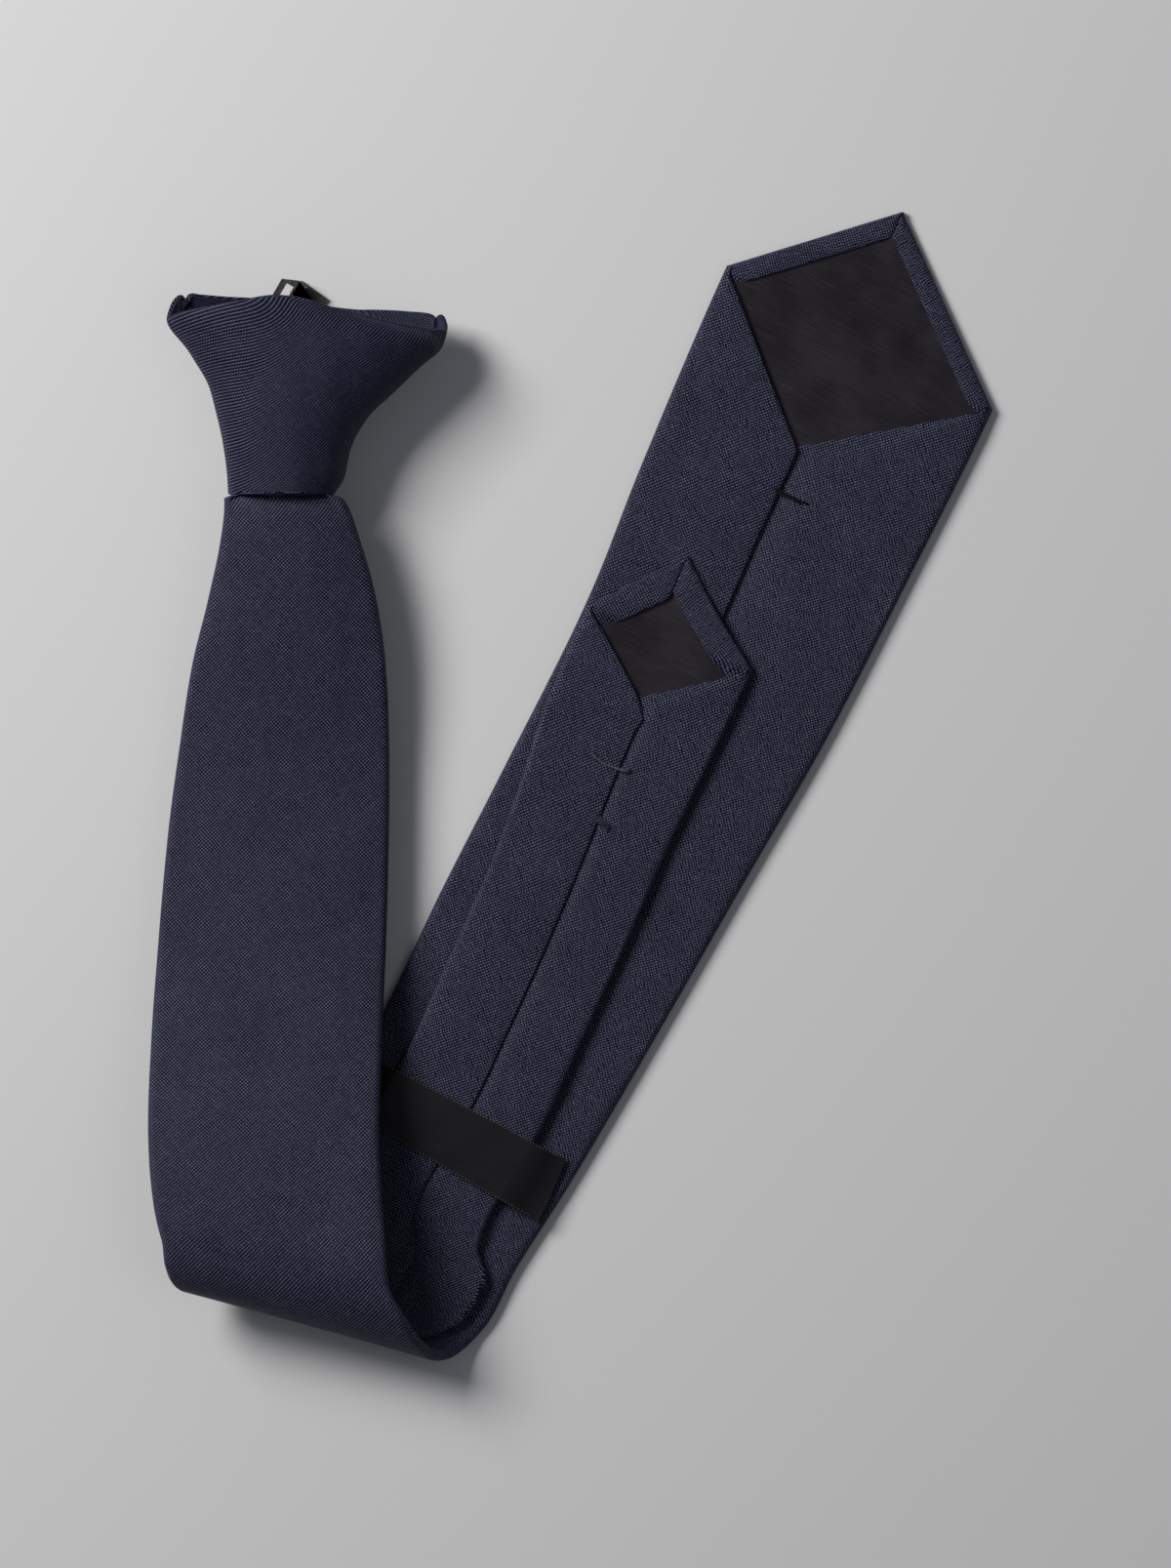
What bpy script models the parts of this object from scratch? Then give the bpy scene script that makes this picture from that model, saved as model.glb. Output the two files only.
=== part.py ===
"""Clip-on tie, laid front up and folded under itself near its middle.

The wide blade leaves a ready-made knot, runs down with its front up, turns under in a soft
round fold and comes back with its lining side up. The narrow tail lies on the blade's back
the whole way and passes under a keeper label. A sprung steel clip sits behind the knot.

Both blades are lofts along one centre path. A point of a blade has three coordinates: how
far along the path it is, how far aside of it, and how deep behind the blade's front face.
"""
import math

import bmesh
import bpy
import numpy as np
from mathutils import Matrix, Vector

# Wide blade, in metres
BLADE_LENGTH = 0.522            # from the knot's lower crease to the point, laid out
BLADE_WIDTH = 0.0728            # at the widest place, across the point's two corners
BLADE_THICKNESS = 0.0040        # two flaps, interlining and front together
BLADE_POINT = 0.0317            # from the corners to the tip
BLADE_POINT_ASIDE = -0.0032     # the tip lies a little left of the middle
BLADE_FLAP = 0.0307             # from the corners back to where the flaps meet
BLADE_HEM = 0.0050
BLADE_SEAM_ASIDE = -0.0021

# Narrow tail
TAIL_WIDTH = 0.0425
TAIL_THICKNESS = 0.0033
TAIL_SHORT = 0.0853             # its corners stop this far before the wide blade's corners
TAIL_POINT = 0.0194
TAIL_POINT_ASIDE = -0.0044
TAIL_FLAP = 0.0185
TAIL_HEM = 0.0072
TAIL_SEAM_ASIDE = 0.0016
TAIL_LATE = 0.0020              # it starts this much lower inside the knot than the blade

# Both backs
FLAP_STEP = 0.0005              # the left flap laps over the right one
SEAM_GAP = 0.0008
SEAM_DEPTH = 0.0009
TIPPING_RECESS = 0.0014
TIPPING_THICKNESS = 0.0008

# Fold
FOLD_RADIUS = 0.0125            # outside, to the blade's front face
FOLD_TURN = 15.5                # degrees that the fold's axis slopes down to the right

# Keeper label
LABEL_LENGTH = 0.0550
LABEL_HEIGHT = 0.0172
LABEL_THICKNESS = 0.0010
LABEL_BACK = 0.0321             # from the end of the fold to the label's lower edge
LABEL_RAMP = 0.0030             # its sides climb on to the tail over this width

# Knot
KNOT_WIDTH = 0.0670
KNOT_HEIGHT = 0.0435
KNOT_DEPTH_TOP = 0.0219
KNOT_DEPTH_EXIT = 0.0165
KNOT_WALL = 0.0020

# Clip
CLIP_TURN = 30.0                # degrees clockwise, seen from above
CLIP_RISE = 0.0057              # its rivet above the knot's nominal top
CLIP_ASIDE = 0.0051
CLIP_WIDTH = 0.0116
CLIP_PLATE_LENGTH = 0.0230
CLIP_METAL = 0.0008
CLIP_GRIP = 0.0032              # between the two plates
LEVER_WIDTH = 0.0064
LEVER_LENGTH = 0.0220
PIN_BACK = 0.0090               # from the rivet down to the pin
PIN_RADIUS = 0.0006
PIN_HEAD_RADIUS = 0.0010
PIN_HEAD = 0.0005
PIN_CLEARANCE = 0.0003
RIVET_RADIUS = 0.0005
RIVET_HEIGHT = 0.0005
TAB_LIFT = 0.0005

# Clip's outlines, measured from the rivet
CLIP_SIDE = 0.0064              # its left side
CLIP_AHEAD = 0.0007
CLIP_CORNER_BACK = 0.0010
CLIP_SHOULDER_BACK = 0.0032
DIVIDER_ASIDE = -0.0024         # right side of the narrow bar beside the window
DIVIDER_WIDTH = 0.0006
WINDOW_WIDTH = 0.0018
WINDOW_NEAR = 0.0014
WINDOW_FAR = 0.0060
LEVER_ASIDE = 0.0010
LEVER_BACK = 0.0016
EAR_WIDTH = 0.0028
LUG_WIDTH = 0.0026
LIP_DROP = 0.0012               # the lip stops this far under the teeth's ends
TOOTH_HEIGHT = 0.0018
TEETH = 5
OVERCUT = 0.0010                # cutters reach this far past what they cut

GAP = 0.0003                    # between neighbours that touch on the real tie
NEST = 0.0004                   # between the blade's front and the inside of the knot
NARROW = 0.00005                # half width left where an outline closes to a point

FOLD_HEIGHT = 2 * FOLD_RADIUS
KNOT_BACK = CLIP_METAL + CLIP_GRIP + CLIP_METAL + GAP
KNOT_EXIT_HEIGHT = KNOT_BACK + KNOT_DEPTH_EXIT - KNOT_WALL - NEST

# Front leg of the wide blade, from inside the knot to the fold. Down and aside are shares of
# BLADE_LENGTH from the middle of the knot's lower crease, and half is a share of BLADE_WIDTH.
# The height is knot times the height at the knot's exit and fold times the fold's height.
# Crown, a share of BLADE_THICKNESS, is how far the two sides droop; turn is in degrees.
FRONT_LEG = (
    # down,    aside,    half,   knot,  fold,  crown, turn
    (-0.0230, -0.0016, 0.112,  1.00,  0.00,  0.62,  0.0),
    (-0.0110, -0.0016, 0.114,  1.00,  0.00,  0.62,  0.0),
    (0.0006,  -0.0016, 0.117,  1.00,  0.00,  0.62,  0.0),
    (0.0026,  -0.0012, 0.192,  1.00,  0.00,  0.62,  0.0),
    (0.0060,   0.0000, 0.202,  0.99,  0.00,  0.60,  0.0),
    (0.0234,   0.0023, 0.232,  0.95,  0.00,  0.55,  0.0),
    (0.0500,   0.0032, 0.278,  0.86,  0.00,  0.50,  0.5),
    (0.0815,   0.0016, 0.321,  0.72,  0.02,  0.40,  1.0),
    (0.1103,   0.0000, 0.342,  0.55,  0.07,  0.30,  2.0),
    (0.1585,  -0.0033, 0.365,  0.35,  0.20,  0.30,  2.0),
    (0.2066,  -0.0061, 0.376,  0.20,  0.36,  0.30,  2.0),
    (0.2548,  -0.0088, 0.381,  0.10,  0.57,  0.25,  2.5),
    (0.3030,  -0.0097, 0.384,  0.03,  0.82,  0.12,  5.0),
    (0.3309,  -0.0077, 0.387,  0.00,  0.95,  0.04,  8.0),
)

# Back leg, from the fold to past the point, flat on its front face
BACK_LEG = (
    # down,    aside,   half,   turn
    (0.3374,   0.0547, 0.398,  22.0),
    (0.2924,   0.0814, 0.404,  27.0),
    (0.2062,   0.1274, 0.430,  28.0),
    (0.1575,   0.1537, 0.439,  28.0),
    (0.0741,   0.1980, 0.459,  28.0),
    (0.0212,   0.2219, 0.479,  28.0),
    (-0.0714,  0.2647, 0.500,  28.5),
    (-0.1297,  0.2913, 0.500,  28.5),
)

# Round the fold: the outermost line lies this far from the crease, and the path drifts aside
# from the first to the second value; all shares of BLADE_LENGTH
FOLD_DOWN = 0.3672
FOLD_ASIDE = (0.0904, 0.1345)
FOLD_HALF = (0.384, 0.427, 0.406)   # half widths where it starts, midway and where it ends
FOLD_TWIST = 4.0                    # degrees that the blade still has to turn on each side
FOLD_STATIONS = 7

# Tail, from its corners back to the knot. Back is a share of its length, aside and half are
# shares of TAIL_WIDTH.
TAIL_LINE = (
    # back, aside,   half
    (0.000, -0.266, 0.500),
    (0.065, -0.230, 0.492),
    (0.113, -0.174, 0.462),
    (0.176, -0.106, 0.445),
    (0.235, -0.070, 0.442),
    (0.300, -0.040, 0.440),
    (0.341, -0.045, 0.438),
    (0.368, -0.012, 0.442),
    (0.387, 0.095, 0.470),
    (0.420, 0.100, 0.470),
    (0.500, 0.035, 0.450),
    (0.700, 0.000, 0.420),
    (0.920, 0.000, 0.330),
    (0.960, 0.000, 0.180),
    (1.000, 0.000, 0.176),
)

# Knot seen from the front: rise is a share of KNOT_HEIGHT, left and right of KNOT_WIDTH
KNOT_OUTLINE = (
    # rise,  left,   right
    (0.000, -0.207, 0.179),
    (0.086, -0.210, 0.210),
    (0.270, -0.225, 0.235),
    (0.465, -0.253, 0.298),
    (0.600, -0.277, 0.379),
    (0.768, -0.354, 0.481),
    (0.900, -0.405, 0.560),
    (1.000, -0.428, 0.577),
)

# Upper edges of the knot's two walls, over a line that slopes down to the right: place runs
# from -1 at the left wing to 1 at the right one, front and back are shares of KNOT_HEIGHT
KNOT_MOUTH = (
    # place, front,  back
    (-1.00, -0.005, 0.010),
    (-0.85, -0.030, 0.066),
    (-0.70, 0.005, 0.073),
    (-0.40, 0.076, 0.075),
    (-0.20, 0.094, 0.074),
    (0.13, 0.070, 0.065),
    (0.46, 0.006, 0.060),
    (0.70, -0.028, 0.062),
    (0.90, -0.047, 0.062),
    (1.00, -0.020, 0.010),
)
KNOT_TOP_SLOPE = -0.115         # rise of that line from wing to wing, a share of KNOT_HEIGHT
KNOT_EDGE_SHARE = 0.35          # the side edges lie this share of the depth above the back
KNOT_FRONT_POWER = 2.2
KNOT_BACK_POWER = 3.6
KNOT_RINGS = 13
KNOT_SIDES = 40

# Thumb tab's outline, in shares of LEVER_WIDTH: aside of the lever's left side, then ahead
TAB_OUTLINE = ((0.09, -0.34), (0.875, -0.34), (1.14, -0.19), (1.19, 0.05), (0.0, 0.16), (0.0, -0.25))

EXIT_ROWS = (2, 4)              # rows of FRONT_LEG between which the blade spreads
LEG_STEP = 0.0090
FOLD_STEP = 0.0024
EXIT_STEP = 0.0009
POINT_STEP = 0.0045
ROLL_SIDES = 4                  # facets round a blade's rolled side
FRONT_FACETS = 4                # facets across a blade's front


def clear_scene():
    """Empty the file of objects."""
    for thing in list(bpy.data.objects):
        bpy.data.objects.remove(thing, do_unlink=True)


def material(name, colour, roughness, metallic=0.0):
    """A plain Principled material."""
    made = bpy.data.materials.new(name)
    made.use_nodes = True
    shader = made.node_tree.nodes["Principled BSDF"]
    shader.inputs["Base Color"].default_value = (*colour, 1.0)
    shader.inputs["Roughness"].default_value = roughness
    shader.inputs["Metallic"].default_value = metallic
    return made


def even_slopes(places, values):
    """Slopes of a table's columns that never overshoot between two rows."""
    steps = np.diff(places)[:, None]
    rates = np.diff(values, axis=0) / steps
    slopes = np.zeros_like(values)
    slopes[0] = rates[0]
    slopes[-1] = rates[-1]
    same = rates[:-1] * rates[1:] > 0
    total = np.where(same, rates[:-1] + rates[1:], 1.0)
    slopes[1:-1] = np.where(same, 2 * rates[:-1] * rates[1:] / total, 0.0)
    return slopes


def round_slopes(places, values):
    """Slopes of a table's columns for a smooth path through its rows."""
    steps = np.diff(places)[:, None]
    rates = np.diff(values, axis=0) / steps
    slopes = np.empty_like(values)
    slopes[0] = rates[0]
    slopes[-1] = rates[-1]
    slopes[1:-1] = (rates[:-1] * steps[1:] + rates[1:] * steps[:-1]) / (steps[:-1] + steps[1:])
    return slopes


def read_table(places, values, slopes, wanted):
    """A table's columns, read smoothly at the wanted places."""
    wanted = np.atleast_1d(wanted)
    row = np.clip(np.searchsorted(places, wanted, side="right") - 1, 0, len(places) - 2)
    step = (places[row + 1] - places[row])[:, None]
    t = np.clip((wanted - places[row])[:, None] / step, 0.0, 1.0)
    start = (1 + 2 * t) * (1 - t) ** 2 * values[row] + t * (1 - t) ** 2 * step * slopes[row]
    end = t * t * (3 - 2 * t) * values[row + 1] + t * t * (t - 1) * step * slopes[row + 1]
    return start + end


class Ribbon:
    """The centre path of both blades, with width, droop and direction along it."""

    def __init__(self):
        rows = [self.front_row(*row) for row in FRONT_LEG]
        self.fold_first = len(rows)
        rows += [self.fold_row(i / (FOLD_STATIONS - 1)) for i in range(FOLD_STATIONS)]
        self.fold_last = len(rows) - 1
        rows += [self.back_row(*row) for row in BACK_LEG]
        rows = np.array(rows)
        chord = np.linalg.norm(np.diff(rows[:, :3], axis=0), axis=1)
        places = np.concatenate([[0.0], np.cumsum(chord)])
        self.fine = np.linspace(0.0, places[-1], 3000)
        slopes = round_slopes(places, rows[:, :3])
        slopes[self.fold_last:, 2] = 0.0    # the back leg lies flat
        path = read_table(places, rows[:, :3], slopes, self.fine)
        rest = read_table(places, rows[:, 3:], even_slopes(places, rows[:, 3:]), self.fine)
        moved = np.linalg.norm(np.diff(path, axis=0), axis=1)
        self.along = np.concatenate([[0.0], np.cumsum(moved)])
        self.table = np.hstack([path, rest])
        self.station = np.interp(places, self.fine, self.along)
        self.fold_start = self.station[self.fold_first]
        self.fold_end = self.station[self.fold_last]
        self.exit_zone = (self.station[EXIT_ROWS[0]], self.station[EXIT_ROWS[1]])
        self.corner = self.station[-2]
        self.end = self.station[-1]

    @staticmethod
    def front_row(down, aside, half, knot, fold, crown, turn):
        height = knot * KNOT_EXIT_HEIGHT + fold * FOLD_HEIGHT
        return (aside * BLADE_LENGTH, -down * BLADE_LENGTH, height,
                half * BLADE_WIDTH, crown * BLADE_THICKNESS, turn)

    @staticmethod
    def back_row(down, aside, half, turn):
        return (aside * BLADE_LENGTH, -down * BLADE_LENGTH, 0.0, half * BLADE_WIDTH, 0.0, turn)

    @staticmethod
    def fold_row(share):
        """A row on the fold's half circle; share runs from 0 above to 1 below."""
        axis = math.radians(FOLD_TURN)
        angle = math.pi * share
        out = FOLD_DOWN * BLADE_LENGTH - FOLD_RADIUS * (1 - math.sin(angle))
        drift = BLADE_LENGTH * (FOLD_ASIDE[0] + (FOLD_ASIDE[1] - FOLD_ASIDE[0]) * share)
        ends = FOLD_HALF[0] + (FOLD_HALF[2] - FOLD_HALF[0]) * share
        bulge = FOLD_HALF[1] - (FOLD_HALF[0] + FOLD_HALF[2]) / 2
        return (drift * math.cos(axis) - out * math.sin(axis),
                -drift * math.sin(axis) - out * math.cos(axis),
                FOLD_RADIUS * (1 + math.cos(angle)),
                (ends + bulge * math.sin(angle)) * BLADE_WIDTH,
                0.0,
                FOLD_TURN - FOLD_TWIST * math.cos(angle))

    def read(self, along):
        """Position, half width, droop and turn at distances along the path."""
        place = np.atleast_1d(along)
        return np.stack([np.interp(place, self.along, c) for c in self.table.T], axis=1)

    def frame(self, along):
        """Centre, half width, droop, aside and behind directions at one place."""
        nudge = 0.0004
        row = self.read(along)[0]
        ahead = self.read(min(along + nudge, self.end))[0][:3]
        before = self.read(max(along - nudge, 0.0))[0][:3]
        forward = Vector(ahead - before).normalized()
        turn = math.radians(row[5])
        aside = Vector((math.cos(turn), -math.sin(turn), 0.0))
        behind = aside.cross(forward).normalized()
        return Vector(row[:3]), row[3], row[4], aside, behind

    def point(self, along, aside, depth):
        """World position of a place on or behind the blade's front face."""
        centre, half, crown, across, behind = self.frame(along)
        droop = crown * (aside / half) ** 2
        return centre + across * aside + behind * (depth + droop)


def tail_table(ribbon):
    """The tail's corner place, its length and a reader of aside and half along the path."""
    corner = ribbon.corner - TAIL_SHORT
    length = corner - ribbon.station[0] - TAIL_LATE
    rows = np.array(TAIL_LINE)
    places = corner - rows[::-1, 0] * length
    values = rows[::-1, 1:] * TAIL_WIDTH
    slopes = even_slopes(places, values)
    return corner, lambda along: read_table(places, values, slopes, along)[0]


def places_between(start, end, ribbon):
    """Loft places from start to end, closer together round the fold."""
    steps = []
    bend = (ribbon.fold_start - FOLD_RADIUS, ribbon.fold_end + FOLD_RADIUS)
    exit_low, exit_high = ribbon.exit_zone
    zones = (
        (start, exit_low, LEG_STEP),
        (exit_low, exit_high, EXIT_STEP),
        (exit_high, bend[0], LEG_STEP),
        (bend[0], bend[1], FOLD_STEP),
        (bend[1], end, LEG_STEP),
    )
    for low, high, step in zones:
        low = max(low, start)
        high = min(high, end)
        if high <= low:
            continue
        count = max(1, round((high - low) / step))
        steps += [low + (high - low) * i / count for i in range(count)]
    return steps + [end]


def loft(name, sections, finish):
    """One closed solid through sections of equally many points, with flat ends."""
    mesh = bmesh.new()
    rings = [[mesh.verts.new(p) for p in section] for section in sections]
    count = len(rings[0])
    for near, far in zip(rings, rings[1:]):
        for i in range(count):
            j = (i + 1) % count
            mesh.faces.new((near[i], near[j], far[j], far[i]))
    mesh.faces.new(rings[0][::-1])
    mesh.faces.new(rings[-1])
    bmesh.ops.triangulate(mesh, faces=[f for f in mesh.faces if len(f.verts) > 4])
    return finish_mesh(name, mesh, finish)


def finish_mesh(name, mesh, finish, smooth=35.0):
    """Make an object of a bmesh, faces out, with its material."""
    bmesh.ops.recalc_face_normals(mesh, faces=mesh.faces[:])
    if mesh.calc_volume(signed=True) < 0:
        bmesh.ops.reverse_faces(mesh, faces=mesh.faces[:])
    data = bpy.data.meshes.new(name)
    mesh.to_mesh(data)
    mesh.free()
    data.materials.append(finish)
    data.shade_smooth()
    data.set_sharp_from_angle(angle=math.radians(smooth))
    made = bpy.data.objects.new(name, data)
    bpy.context.collection.objects.link(made)
    return made


class Blade:
    """One blade's own outline and back, as functions of the place along the path."""

    def __init__(self, ribbon, start, corner, outline, thickness, front, point, tip_aside, flap,
                 hem, seam_aside):
        self.ribbon = ribbon
        self.start = start
        self.corner = corner
        self.outline = outline          # gives (middle, half) at a place
        self.thickness = thickness
        self.front = front              # depth of its own front face
        self.tip = corner + point
        self.point = point
        self.tip_aside = tip_aside
        self.flap_start = corner - flap
        self.flap = flap
        self.hem = hem
        self.seam_aside = seam_aside
        self.middle_at_corner, self.half_at_corner = outline(corner)

    def sides(self, along):
        """Left and right edge at a place."""
        if along <= self.corner:
            middle, half = self.outline(along)
            return middle - half, middle + half
        share = min(1.0, (along - self.corner) / self.point)
        tip = self.middle_at_corner + self.tip_aside
        left = self.middle_at_corner - self.half_at_corner
        right = self.middle_at_corner + self.half_at_corner
        return (left + (tip - left) * share - NARROW, right + (tip - right) * share + NARROW)

    def seam(self, along):
        """Where the two flaps meet."""
        middle, half = self.outline(min(along, self.corner))
        return middle + self.seam_aside * min(1.0, half / self.half_at_corner)

    def frame_edges(self, along):
        """Inner edges of the left flap, left hem, right flap and right hem."""
        seam = self.seam(along)
        share = (along - self.flap_start) / self.flap
        left_corner = self.middle_at_corner - self.half_at_corner
        right_corner = self.middle_at_corner + self.half_at_corner
        left_flap = seam + (left_corner - seam) * share
        right_flap = seam + (right_corner - seam) * share
        tip = self.middle_at_corner + self.tip_aside
        past = (along - self.corner) / self.point
        left_run = tip - left_corner
        right_run = right_corner - tip
        left_hem = left_corner + left_run * past + self.hem * math.hypot(1, left_run / self.point)
        right_hem = right_corner - right_run * past - self.hem * math.hypot(1, right_run / self.point)
        return left_flap, left_hem, right_flap, right_hem

    def opening(self, along):
        """Left and right edge of where the tipping shows, or None where the back is shut."""
        if along <= self.flap_start:
            return None
        left_flap, left_hem, right_flap, right_hem = self.frame_edges(along)
        left = max(left_flap, left_hem)
        right = min(right_flap, right_hem)
        return (left, right) if right - left > 2 * SEAM_GAP else None

    def last_place(self, holds, low, high):
        """Last place from low on where a condition still holds."""
        for _ in range(40):
            middle = (low + high) / 2
            if holds(middle):
                low = middle
            else:
                high = middle
        return low

    def loft_places(self):
        """Where the loft has sections, with those at every bend of the tipping's outline."""
        start = self.last_place(lambda a: not self.opening(a), self.flap_start, self.corner)
        end = self.last_place(self.opening, self.corner, self.tip)
        left_bend = self.last_place(lambda a: self.frame_edges(a)[0] > self.frame_edges(a)[1],
                                    self.flap_start, self.tip)
        right_bend = self.last_place(lambda a: self.frame_edges(a)[2] < self.frame_edges(a)[3],
                                     self.flap_start, self.tip)
        keys = [start, start + NARROW, left_bend, right_bend, self.corner, end, end + NARROW]
        steps = math.ceil((self.tip - start) / POINT_STEP)
        spread = places_between(self.start, start, self.ribbon)
        spread += [start + (self.tip - start) * (i + 1) / steps for i in range(steps)]
        near = POINT_STEP / 4
        kept = [p for p in spread[:-1] if all(abs(p - key) > near for key in keys)]
        return sorted(set(kept + keys + [self.tip]))

    def section(self, along):
        """Cross-section at a place, as (aside, depth) pairs round the solid."""
        left, right = self.sides(along)
        top = self.thickness
        roll = min(self.thickness / 2, (right - left) * 0.35)
        opening = self.opening(along)
        if opening:
            inner_left, inner_right = opening
            floor = top - TIPPING_RECESS
        else:
            seam = min(max(self.seam(along), left + roll), right - roll)
            if along > self.corner:
                seam = self.middle_at_corner + self.tip_aside
            half_gap = min(SEAM_GAP / 2, (right - left) * 0.1)
            inner_left, inner_right = seam - half_gap, seam + half_gap
            floor = top - SEAM_DEPTH
        inner_left = min(max(inner_left, left + roll + NARROW), right - roll - 3 * NARROW)
        inner_right = max(min(inner_right, right - roll - NARROW), inner_left + NARROW)
        right_top = top - FLAP_STEP
        points = []
        for i in range(ROLL_SIDES + 1):
            angle = math.pi * i / ROLL_SIDES
            points.append((left + roll - roll * math.sin(angle), top / 2 * (1 - math.cos(angle))))
        points += [((left + roll + inner_left) / 2, top), (inner_left, top), (inner_left, floor),
                   (inner_right, floor), (inner_right, right_top),
                   ((right - roll + inner_right) / 2, right_top)]
        for i in range(ROLL_SIDES + 1):
            angle = math.pi * i / ROLL_SIDES
            depth = right_top / 2 * (1 + math.cos(angle))
            points.append((right - roll + roll * math.sin(angle), depth))
        flat = right - left - 2 * roll
        for i in range(1, FRONT_FACETS):
            points.append((right - roll - flat * i / FRONT_FACETS, 0.0))
        return [(aside, self.front + depth) for aside, depth in points]

    def solid(self, name, finish):
        """The blade as one solid."""
        sections = []
        for place in self.loft_places():
            sections.append([self.ribbon.point(place, *pair) for pair in self.section(place)])
        return loft(name, sections, finish)

    def tipping(self, name, finish):
        """The lining that shows between flaps and hems, as its own thin solid."""
        bottom = self.front + self.thickness - TIPPING_RECESS + GAP
        sections = []
        for place in self.loft_places():
            shown = self.opening(place)
            if not shown or shown[1] - shown[0] < 6 * GAP:
                continue
            left = shown[0] + 2 * GAP
            right = shown[1] - 2 * GAP
            pairs = ((left, bottom), (left, bottom + TIPPING_THICKNESS),
                     (right, bottom + TIPPING_THICKNESS), (right, bottom))
            sections.append([self.ribbon.point(place, *pair) for pair in pairs])
        return loft(name, sections, finish)


def keeper_label(ribbon, tail, finish):
    """A woven band across the back: flat on the blade at its ends, raised over the tail."""
    start = ribbon.fold_end + LABEL_BACK
    sections = []
    count = 4
    low = BLADE_THICKNESS + GAP
    high = BLADE_THICKNESS + GAP + TAIL_THICKNESS + GAP
    for i in range(count + 1):
        place = start + LABEL_HEIGHT * i / count
        left, right = tail.sides(place)
        left -= 2 * GAP
        right += 2 * GAP
        end = LABEL_LENGTH / 2
        under = [(-end, low), (left - LABEL_RAMP, low), (left - LABEL_RAMP / 3, (low + high) / 2),
                 (left + LABEL_RAMP / 3, high), (right - LABEL_RAMP / 3, high),
                 (right + LABEL_RAMP / 3, (low + high) / 2), (right + LABEL_RAMP, low), (end, low)]
        over = [(aside, depth + LABEL_THICKNESS) for aside, depth in reversed(under)]
        sections.append([ribbon.point(place, *pair) for pair in under + over])
    return loft("keeper_label", sections, finish)


def knot(finish):
    """The ready-made knot: a flat funnel with an open mouth and an open lower end."""
    outline = np.array(KNOT_OUTLINE)
    rise_slopes = even_slopes(outline[:, 0], outline[:, 1:])
    mouth = np.array(KNOT_MOUTH)
    mouth_slopes = even_slopes(mouth[:, 0], mouth[:, 1:])

    def ring(rise, wall):
        """Points round the knot at one rise, wall metres inside its outer face."""
        left, right = read_table(outline[:, 0], outline[:, 1:], rise_slopes, rise)[0] * KNOT_WIDTH
        depth = KNOT_DEPTH_EXIT + (KNOT_DEPTH_TOP - KNOT_DEPTH_EXIT) * math.sin(rise * math.pi / 2)
        middle = (left + right) / 2
        half = (right - left) / 2 - wall
        edge = KNOT_BACK + depth * KNOT_EDGE_SHARE
        points = []
        for i in range(KNOT_SIDES):
            angle = 2 * math.pi * i / KNOT_SIDES
            across, up = math.cos(angle), math.sin(angle)
            power = KNOT_FRONT_POWER if up > 0 else KNOT_BACK_POWER
            reach = depth * (1 - KNOT_EDGE_SHARE) if up > 0 else depth * KNOT_EDGE_SHARE
            place = math.copysign(abs(across) ** (2 / power), across)
            lift = math.copysign(abs(up) ** (2 / power), up) * (reach - wall)
            front, back = read_table(mouth[:, 0], mouth[:, 1:], mouth_slopes, place)[0]
            blend = (up + 1) / 2
            top = 1 + KNOT_TOP_SLOPE * place / 2 + back * (1 - blend) + front * blend
            points.append(Vector((middle + half * place, rise * top * KNOT_HEIGHT, edge + lift)))
        return points

    rises = [i / (KNOT_RINGS - 1) for i in range(KNOT_RINGS)]
    skins = [[ring(rise, 0.0) for rise in rises], [ring(rise, KNOT_WALL) for rise in rises]]
    mesh = bmesh.new()
    rings = [[mesh.verts.new(p) for p in points] for points in skins[0] + skins[1][::-1]]
    for near, far in zip(rings, rings[1:] + rings[:1]):
        for i in range(KNOT_SIDES):
            j = (i + 1) % KNOT_SIDES
            mesh.faces.new((near[i], near[j], far[j], far[i]))
    return finish_mesh("knot", mesh, finish)


def prism(name, outline, low, high, finish):
    """An upright solid on a flat outline."""
    return loft(name, [[(x, y, low) for x, y in outline], [(x, y, high) for x, y in outline]], finish)


def block(name, lows, highs, finish):
    """A box between two corners."""
    (x0, y0, z0), (x1, y1, z1) = lows, highs
    return prism(name, ((x0, y0), (x1, y0), (x1, y1), (x0, y1)), z0, z1, finish)


def rod(name, start, end, back, height, radius, finish, sides=14):
    """A round bar along the pin's direction."""
    sections = []
    for x in (start, end):
        turns = [2 * math.pi * i / sides for i in range(sides)]
        sections.append([(x, back + radius * math.cos(a), height + radius * math.sin(a)) for a in turns])
    return loft(name, sections, finish)


def combine(body, tool, operation):
    """Apply one exact Boolean and take the tool away."""
    change = body.modifiers.new(operation.lower(), "BOOLEAN")
    change.operation = operation
    change.solver = "EXACT"
    change.object = tool
    graph = bpy.context.evaluated_depsgraph_get()
    graph.update()
    result = bpy.data.meshes.new_from_object(body.evaluated_get(graph))
    body.modifiers.clear()
    body.data = result
    bpy.data.objects.remove(tool, do_unlink=True)
    return body


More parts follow.
